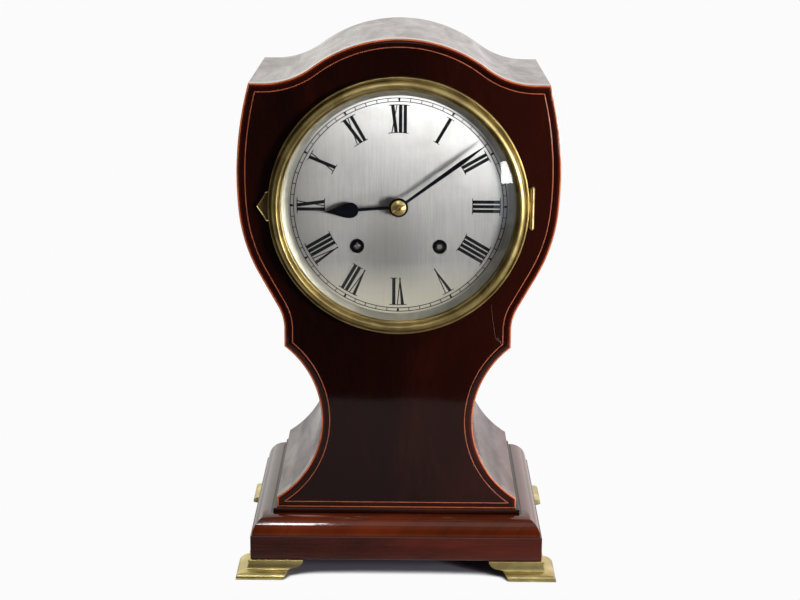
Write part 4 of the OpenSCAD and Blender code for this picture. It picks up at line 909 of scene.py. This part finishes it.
# The bezel
def bezel_profile():
    """A round rim, a band with its crest near the bore, and a bead over the glass."""
    lip = BEZEL_BACK + 3.3
    bore = SIGHT_R + 2
    base_f = lip + 0.5
    crest, out_w, in_w = bore + 0.8, 3.2, 1.1
    rim_r, bead_r, bead_h = 0.7, 0.45, 0.42
    rim = arc((BEZEL_R - rim_r, BEZEL_BACK + 1.9), rim_r, 0, 180, 15)
    band = [
        (crest + (out_w if a < 90 else in_w) * cosd(a), base_f + (BEZEL_H - base_f) * sind(a))
        for a in range(0, 181, 5)
    ]
    bead = [
        (SIGHT_R + bead_r * (1 + cosd(a)), base_f + bead_h * sind(a)) for a in range(0, 181, 15)
    ]
    return (
        [(bore, BEZEL_BACK), (BEZEL_R - 0.1, BEZEL_BACK), (BEZEL_R, BEZEL_BACK + 0.1)]
        + rim
        + [(BEZEL_R - 1.5, BEZEL_BACK + 1.3), (BEZEL_R - 2.05, BEZEL_BACK + 1.25)]
        + band
        + bead
        + [(SIGHT_R, lip), (bore, lip)]
    )


Shape().turned(bezel_profile()).piece(
    "bezel_ring_fine", mats["bezel"], "bezel", "aged_brass", ["bezel_ring"], angle=40
)


def bezel_tab():
    """The finger tab: a low raised rim round a sunk field."""
    reach, root, height, rim, thick, sunk = 7.5, 1.7, 18.8, 0.55, 1.2, 0.4
    f = BEZEL_BACK + 0.1

    def edge(d):
        """The tab's outline, inset by d; at the bezel it stays."""
        half = height / 2 - d
        out = []
        for i in range(-24, 25):
            t = i / 24
            x = root + (reach - root) * (1 - abs(t)) ** 1.15 - d * (1.4 if abs(t) < 0.03 else 1.15)
            out.append((-BEZEL_R + 0.3 - max(x, 0.1), DIAL_Z + t * half))
        return out + [(-BEZEL_R + 1.2, DIAL_Z + half), (-BEZEL_R + 1.2, DIAL_Z - half)]

    shape = Shape()
    rings = [
        shape.ring([upright(p, -f - up) for p in edge(d)])
        for d, up in (
            (0, 0),
            (0, 0.85),
            (0.12, 1.1),
            (0.3, thick),
            (rim - 0.05, 1.08),
            (rim + 0.1, thick - sunk),
        )
    ]
    shape.skin(rings)
    shape.cap(rings[0])
    shape.cap(rings[-1])
    shape.piece(
        "bezel_tab_fine", mats["fittings"], "bezel", "aged_brass", ["bezel_tab"], angle=25
    )
    level = sunk - thick - f
    Shape().prism(edge(rim + 0.12), [], upright, level - 0.05, level + 0.1, 0.03).piece(
        "bezel_tab_field", mats["dull_brass"], "bezel", "aged_brass"
    )


bezel_tab()

GLASS_EDGE, GLASS_RISE, GLASS_T = 3.8, 13.0, 1.8
GLASS_R = SIGHT_R + 1.9


def domed_glass():
    """The front glass: two balls about one centre, cut by the bezel's bore."""
    ball = (GLASS_R**2 + GLASS_RISE**2) / (2 * GLASS_RISE)
    centre = GLASS_EDGE + GLASS_RISE - ball

    def face(radius):
        return arc((0, centre), radius, 90, 90 - angle_of(GLASS_R / radius), 36)

    profile = face(ball) + list(reversed(face(ball - GLASS_T)))
    Shape().turned(profile, 192).piece(
        "bezel_glass_fine", mats["glass"], "bezel", "glass", ["bezel_glass"], angle=40
    )


domed_glass()


def slip_ring():
    """The silvered slip between the dial's track and the bezel, hollow and rising outwards."""
    inner, outer, low, high, under = 70.2, 74.3, 2.9, 1.7, 2.98
    n = 10
    hollow = []
    for i in range(n + 1):
        r = inner + (outer - inner) * i / n
        hollow.append((r, (low - high) * (i / n) ** 1.3 - low))
    profile = [(inner, -under)] + hollow + [(outer, -under)]
    Shape().turned(profile).piece("dial_slip_ring", mats["slip"], "case", "silvered", angle=40)


# The dial's markings
TRACK_R, TRACK_W, LINE = 69.0, 2.7, 0.48
NUMERAL_R, NUMERAL_H = 64.7, 18.0
STROKE, HAIR, SERIF = 2.15, 0.62, 0.5
DIAL_FACE, WAX_T = 3.0, 0.1
# For each letter: its width, the places of its strokes at foot and head, and the strokes' widths
LETTERS = {
    "I": (2.95, [(1.47, 1.47, STROKE)]),
    "V": (5.4, [(3.15, 1.2, STROKE), (2.75, 4.6, HAIR)]),
    "X": (4.7, [(3.5, 1.1, STROKE), (0.7, 3.9, HAIR)]),
}


def spun(turn):
    """A way to place points of the upright dial, turned clockwise by so many degrees."""

    def place(p, f):
        x = p[0] * cosd(turn) + p[1] * sind(turn)
        z = -p[0] * sind(turn) + p[1] * cosd(turn)
        return upright((x, DIAL_Z + z), f)

    return place


class Marks:
    """Flat marks, all laid down in one mesh just proud of the dial."""

    def __init__(self):
        self.shape = Shape()

    def lay(self, loop, hour=0.0, lift=0.0):
        top = DIAL_FACE - WAX_T - lift
        self.shape.prism(loop, [], spun(30.0 * hour), top, DIAL_FACE, 0.02)

    def ring(self, r, width):
        top, inner = DIAL_FACE - WAX_T, r - width
        edges = ((r, DIAL_FACE), (r, top), (inner, top), (inner, DIAL_FACE))
        rings = [
            self.shape.ring([upright(p, f) for p in circle(radius, 360)]) for radius, f in edges
        ]
        self.shape.skin(rings, round_again=True)


def bow(r, width, half):
    """A serif: a thin bar that follows the circle of radius r."""
    span = math.degrees(half / r)
    outer = arc((0, 0), r, 90 + span, 90 - span, 10)
    return outer + list(reversed(arc((0, 0), r - width, 90 + span, 90 - span, 10)))


def numeral(marks, letters, hour):
    """Upright letters with one long serif at the head and one at the foot."""
    total = sum(LETTERS[c][0] for c in letters)
    foot, head = NUMERAL_R - NUMERAL_H, NUMERAL_R
    x = -total / 2
    feet = []
    for c in letters:
        width, strokes = LETTERS[c]
        for k, (low, high, w) in enumerate(strokes):
            x0, x1 = x + low, x + high
            tip = 0.3 if c == "V" and w == STROKE else 1.0
            marks.lay(
                [
                    (x0 - w / 2 * tip, foot),
                    (x1 - w / 2, head - 0.1),
                    (x1 + w / 2, head - 0.1),
                    (x0 + w / 2 * tip, foot),
                ],
                hour,
                0.004 * k,
            )
            if c != "V":
                feet.append(x0)
        x += width
    marks.lay(bow(head, SERIF, total / 2 + 1.3), hour, 0.01)
    if not feet:
        return
    low, high = min(feet), max(feet)
    middle, half = (low + high) / 2, (high - low) / 2 + 2.2
    serif = [(px + middle, pz) for px, pz in bow(foot + SERIF, SERIF, half)]
    marks.lay(serif, hour, 0.01)


def dial_markings():
    marks = Marks()
    marks.ring(TRACK_R, LINE)
    marks.ring(TRACK_R - TRACK_W + LINE, LINE)
    low, high = TRACK_R - TRACK_W + LINE / 2, TRACK_R - LINE / 2
    for k in range(60):
        if k % 5:
            half = LINE / 2
            marks.lay([(-half, low), (-half, high), (half, high), (half, low)], k / 5)
        else:
            marks.lay([(-0.85, high), (0.85, high), (0.4, low), (-0.4, low)], k / 5)
    names = "XII I II III IIII V VI VII VIII IX X XI".split()
    for hour, name in enumerate(names):
        numeral(marks, name, hour)
    marks.shape.piece("dial_markings_fine", mats["wax"], "case", "black_wax", ["dial_markings"])


dial_markings()
slip_ring()


# The hands, and how far each has turned from twelve, in degrees
HAND_T, MINUTE_AT, HOUR_AT = 0.8, 53.7, 265.7


def hand(name, loop, hole_r, turn, f, body):
    """A flat hand with eased edges, its front f before the front face."""
    hole = [(hole_r * sind(a), hole_r * cosd(a)) for a in range(0, 360, 5)]
    Shape().prism(loop, [hole], spun(turn), -f, HAND_T - f, 0.16, 0.1).piece(
        name + "_fine", mats["blued"], body, "blued_steel", [name]
    )


def boss(r, half):
    """The round boss from one side of the blade round to the other."""
    start = angle_of(half / r)
    return arc((0, 0), r, 90 - start, start - 270, 72)


def minute_hand():
    """A plain blade, widest past its middle."""
    length, root, half, wide = 69.0, 8.0, 0.9, 1.45
    shoulder = length * 0.71
    blade = [(-half, root), (-wide, shoulder), (0, length), (wide, shoulder), (half, root)]
    hand("minute_hand", boss(6.1, half) + blade, 2.6, MINUTE_AT, 2.8, "minute")


def hour_hand():
    """A stem with a pear near its end, drawn out to a point."""
    length, root, half, pear_r, pear_at = 49.0, 8.0, 0.95, 4.9, 30.3
    side = [(half, root)] + arc((0, pear_at), pear_r, -78, 0, 26)
    for i in range(1, 25):
        s = i / 24
        x = pear_r * cosd(90 * s) ** 2 + 0.12 * (1 - s)
        side.append((x, pear_at + s * (length - pear_at)))
    loop = [(-x, z) for x, z in side] + list(reversed(side))[1:]
    hand("hour_hand", boss(5.9, half) + loop, 4.0, HOUR_AT, 0.8, "hour")


minute_hand()
hour_hand()


# Small marks: of age, and a dark line at the crown
def sliver(name, points, width, lift, material, body, slot, place=upright):
    """A thin raised line along points on a face, tapering to both ends."""
    n = len(points)
    rows = [[], [], [], []]
    for i, (x, z) in enumerate(points):
        a, b = points[max(i - 1, 0)], points[min(i + 1, n - 1)]
        d = Vector((b[0] - a[0], b[1] - a[1])).normalized()
        w = width / 2 * math.sin(math.pi * (i + 0.6) / (n + 0.2))
        for row, s, f in ((0, -1, 0.05), (1, -0.6, -lift), (2, 0.6, -lift), (3, 1, 0.05)):
            rows[row].append(place((x - d.y * w * s, z + d.x * w * s), f))
    shape = Shape()
    shape.rod([shape.ring(r) for r in rows]).piece(name, mats[material], body, slot)


def on_ovolo(p, f):
    """A point on the round moulding: p is x and the way down from its top."""
    a, r = 90 - math.degrees(p[1] / OVOLO_R), OVOLO_R - f
    return Vector((p[0], CORE_FRONT - r * cosd(a), PLINTH_TOP + r * sind(a))) * MM


def on_plinth(p, f):
    return Vector((p[0], PLINTH_FRONT + f, p[1])) * MM


def top_edge(x):
    """A point just under the line round the edge, at the crown."""
    return (x, crown_c[1] + math.sqrt((CROWN_R - 2.1) ** 2 - x**2))


crack = [(60.0, 180.5), (60.5, 176.0), (61.0, 171.0), (61.9, 166.0)]
crack += [(62.6, 161.0), (63.6, 157.4), (65.4, 155.2)]
chip = [(64.2, 158.2), (65.0, 157.0), (66.4, 155.6), (67.0, 153.8)]
crown_edge = [top_edge(-17 + 41 * i / 12) for i in range(13)]
sliver("veneer_crack", crack, 0.36, 0.03, "dust", "case", "mahogany")
sliver("veneer_chip", chip, 1.1, 0.02, "dust", "case", "mahogany")
# A near-black line just inside the edge line at the crown
sliver("crown_edge_dark_line", crown_edge, 1.0, 0.02, "near_black_mark", "case", "mahogany")
for i, (x0, x1, down, width) in enumerate(
    ((-41, -30, 4.9, 0.22), (-36, -22, 6.0, 0.18), (-28, -14, 4.2, 0.2), (30, 39, 4.4, 0.2))
):
    points = [(x0 + (x1 - x0) * k / 6, down + 0.25 * math.sin(1.7 * k + i)) for k in range(7)]
    sliver("scratch_%d" % i, points, width, 0.02, "scuff", "case", "base_wood", on_ovolo)
nick = [(31.0, PLINTH_TOP - 0.7), (32.2, PLINTH_TOP - 1.1), (33.6, PLINTH_TOP - 0.8)]
sliver("plinth_nick", nick, 1.0, 0.02, "near_black_mark", "case", "base_wood", on_plinth)

# The CAD pieces that stay
CARRIED = {
    "fittings": "bezel_seat glass_retainer bezel_hinge_leaf bezel_hinge_plate door_hinge_plates "
    "door_hinge_leaves door_knob",
    "feet": "foot_screws",
    "silver": "dial_plate",
    "collet": "hand_collet",
    "works": "cannon_pinion minute_wheel hour_wheel front_plate back_plate pillars going_barrel "
    "intermediate_wheel centre_wheel third_wheel escape_wheel suspension_cock pendulum "
    "strike_barrel hammer_wheel gathering_wheel warning_wheel fly",
    "dark_steel": "going_winding_arbor strike_winding_arbor",
    "steel": "movement_brackets movement_screws going_click pallets strike_click hammer",
    "gong": "gong",
    "iron": "gong_block",
}
for key, names in CARRIED.items():
    for name in names.split():
        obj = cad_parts[name]
        obj.data.materials.clear()
        obj.data.materials.append(mats[key])
        smooth(obj.data, 30)

# Floor, world and lamps
PAPER = 0.965


def floor():
    """A pale sheet under the clock. The camera sees it white, less the clock's shadow, and so
    do glass and, from the clock backwards, metal. Lamps light it as plain paper, with painted
    shade in front of the clock, where its colour is darkened."""
    m = Looks("pale_floor")
    tooth = m.noise(m.place(), 320.0, 4.0, 0.6)
    tone = m.ramp(tooth, [(0.3, (0.80, 0.80, 0.795)), (0.7, (0.84, 0.84, 0.835))])
    # Painted shade: in front of the plinth the floor's colour darkens, fully by 4 cm out
    depth = m.axis(m.place(), 1)
    near = m.rise(depth, -0.08, -0.12, how="LINEAR")
    plain = m.node("BsdfDiffuse", {"Color": m.mix(near, tone, (0.22, 0.20, 0.20))})
    open_sky = m.node("AmbientOcclusion", {"Distance": 0.06}, samples=32).outputs["AO"]
    bare = m.rise(open_sky, 0.3, 0.5, how="LINEAR")
    seen = m.node("Emission", {"Color": (1, 1, 1, 1), "Strength": PAPER})
    shade = m.node("BsdfDiffuse", {"Color": (0.15, 0.142, 0.175, 1)})
    lit = m.node("MixShader", {0: bare, 1: shade.outputs[0], 2: seen.outputs[0]})
    glossy = m.node("LightPath").outputs["Is Glossy Ray"]
    mirrored_rays = m.maths("MULTIPLY", glossy, m.rise(depth, -0.05, 0.55, 0.5, "LINEAR"))
    looked = m.maths("MAXIMUM", m.seen_directly(), mirrored_rays)
    mat = m.made(m.node("MixShader", {0: looked, 1: plain.outputs[0], 2: lit.outputs[0]}))
    mesh = bpy.data.meshes.new("floor")
    x, y0, y1 = 1.4, -0.43, 1.8
    mesh.from_pydata([(-x, y0, 0), (x, y0, 0), (x, y1, 0), (-x, y1, 0)], [], [(0, 1, 2, 3)])
    mesh.materials.append(mat)
    obj = bpy.data.objects.new("floor", mesh)
    bpy.context.scene.collection.objects.link(obj)


def studio():
    """A white backdrop to look at. As light: bright behind the clock, dim above it and almost
    dark before it, a little yellow at the left and pink at the right."""
    world = bpy.data.worlds.new("studio")
    bpy.context.scene.world = world
    world.use_nodes = True
    sky = Nodes(world.node_tree)
    way = sky.node("TexCoord").outputs["Generated"]
    behind = sky.rise(sky.axis(way, 1), -0.1, 0.3, 1.22)
    above = sky.rise(sky.axis(way, 2), 0.3, 0.65, 0.2)
    room = sky.maths("ADD", sky.maths("MAXIMUM", behind, above), 0.02)
    side = sky.rise(sky.axis(way, 0), -0.5, 0.5, how="LINEAR")
    tint = sky.mix(side, (0.97, 0.97, 0.90), (1.0, 0.925, 0.93))
    light = sky.node("Background", {"Color": tint, "Strength": room}).outputs[0]
    white = sky.node("Background", {"Color": (1, 1, 1, 1), "Strength": PAPER}).outputs[0]
    both = sky.node("MixShader", {0: sky.seen_directly(), 1: light, 2: white})
    sky.node("OutputWorld", {0: both.outputs[0]})


floor()
studio()

DIAL = Vector((0, FRONT, DIAL_Z)) * MM


def lamp(name, bearing, height, distance, size, radiance, aim=DIAL, tint=(1, 1, 1)):
    """A soft panel. bearing: degrees to the right of straight ahead, height: degrees up."""
    light = bpy.data.lights.new(name, "AREA")
    light.shape = "RECTANGLE"
    light.size, light.size_y = size
    light.energy = radiance * math.pi * size[0] * size[1]
    light.color = tint
    obj = bpy.data.objects.new(name, light)
    out = Vector((sind(bearing) * cosd(height), -cosd(bearing) * cosd(height), sind(height)))
    obj.location = aim + out * distance
    obj.rotation_euler = out.to_track_quat("Z", "Y").to_euler()
    bpy.context.scene.collection.objects.link(obj)


lamp("key", 52, 3, 1.1, (0.16, 0.30), 104.0)
lamp("top", 0, 60, 1.4, (1.2, 0.8), 0.5)
lamp("left_fill", -60, 18, 1.8, (0.9, 1.2), 0.3, tint=(1.0, 0.98, 0.9))
lamp("window", 39, 1, 1.5, (0.20, 0.20), 14.0, aim=Vector((0.066, FRONT * MM, 0.263)))
lamp("window_sky", 41, 0, 1.55, (0.35, 0.9), 0.5, tint=(0.7, 0.8, 1.0))
lamp("strip", -4, 56, 1.5, (0.085, 0.35), 26.0, aim=Vector((-0.1, -0.07, 0.033)))

# The camera: its turns, its place and its focal length, in pixels of a picture 800 wide
YAW, PITCH, ROLL = math.radians(-0.1), math.radians(14.3), math.radians(0.43)
AWAY, UP_AT, ASIDE, FOCAL = 1123.25, 469.27, 1.34, 1804.82
FILM, PICTURE = 36.0, 800
right = Vector((math.cos(YAW), -math.sin(YAW), 0))
ahead = Vector((math.sin(YAW), math.cos(YAW), 0))
look = ahead * math.cos(PITCH) - Vector((0, 0, math.sin(PITCH)))
up = ahead * math.sin(PITCH) + Vector((0, 0, math.cos(PITCH)))
cam_x = right * math.cos(ROLL) + up * math.sin(ROLL)
cam_y = up * math.cos(ROLL) - right * math.sin(ROLL)
stand = right * ASIDE - ahead * AWAY + Vector((0, FRONT, UP_AT))
camera_data = bpy.data.cameras.new("camera")
camera_data.sensor_width = FILM
camera_data.lens = FOCAL / PICTURE * FILM
camera_data.clip_start = 0.05
camera_data.clip_end = 50
camera = bpy.data.objects.new("camera", camera_data)
turn = Matrix((cam_x, cam_y, -look)).transposed().to_4x4()
camera.matrix_world = Matrix.Translation(stand * MM) @ turn
bpy.context.scene.collection.objects.link(camera)
bpy.context.scene.camera = camera
bpy.context.scene.view_settings.view_transform = "Standard"
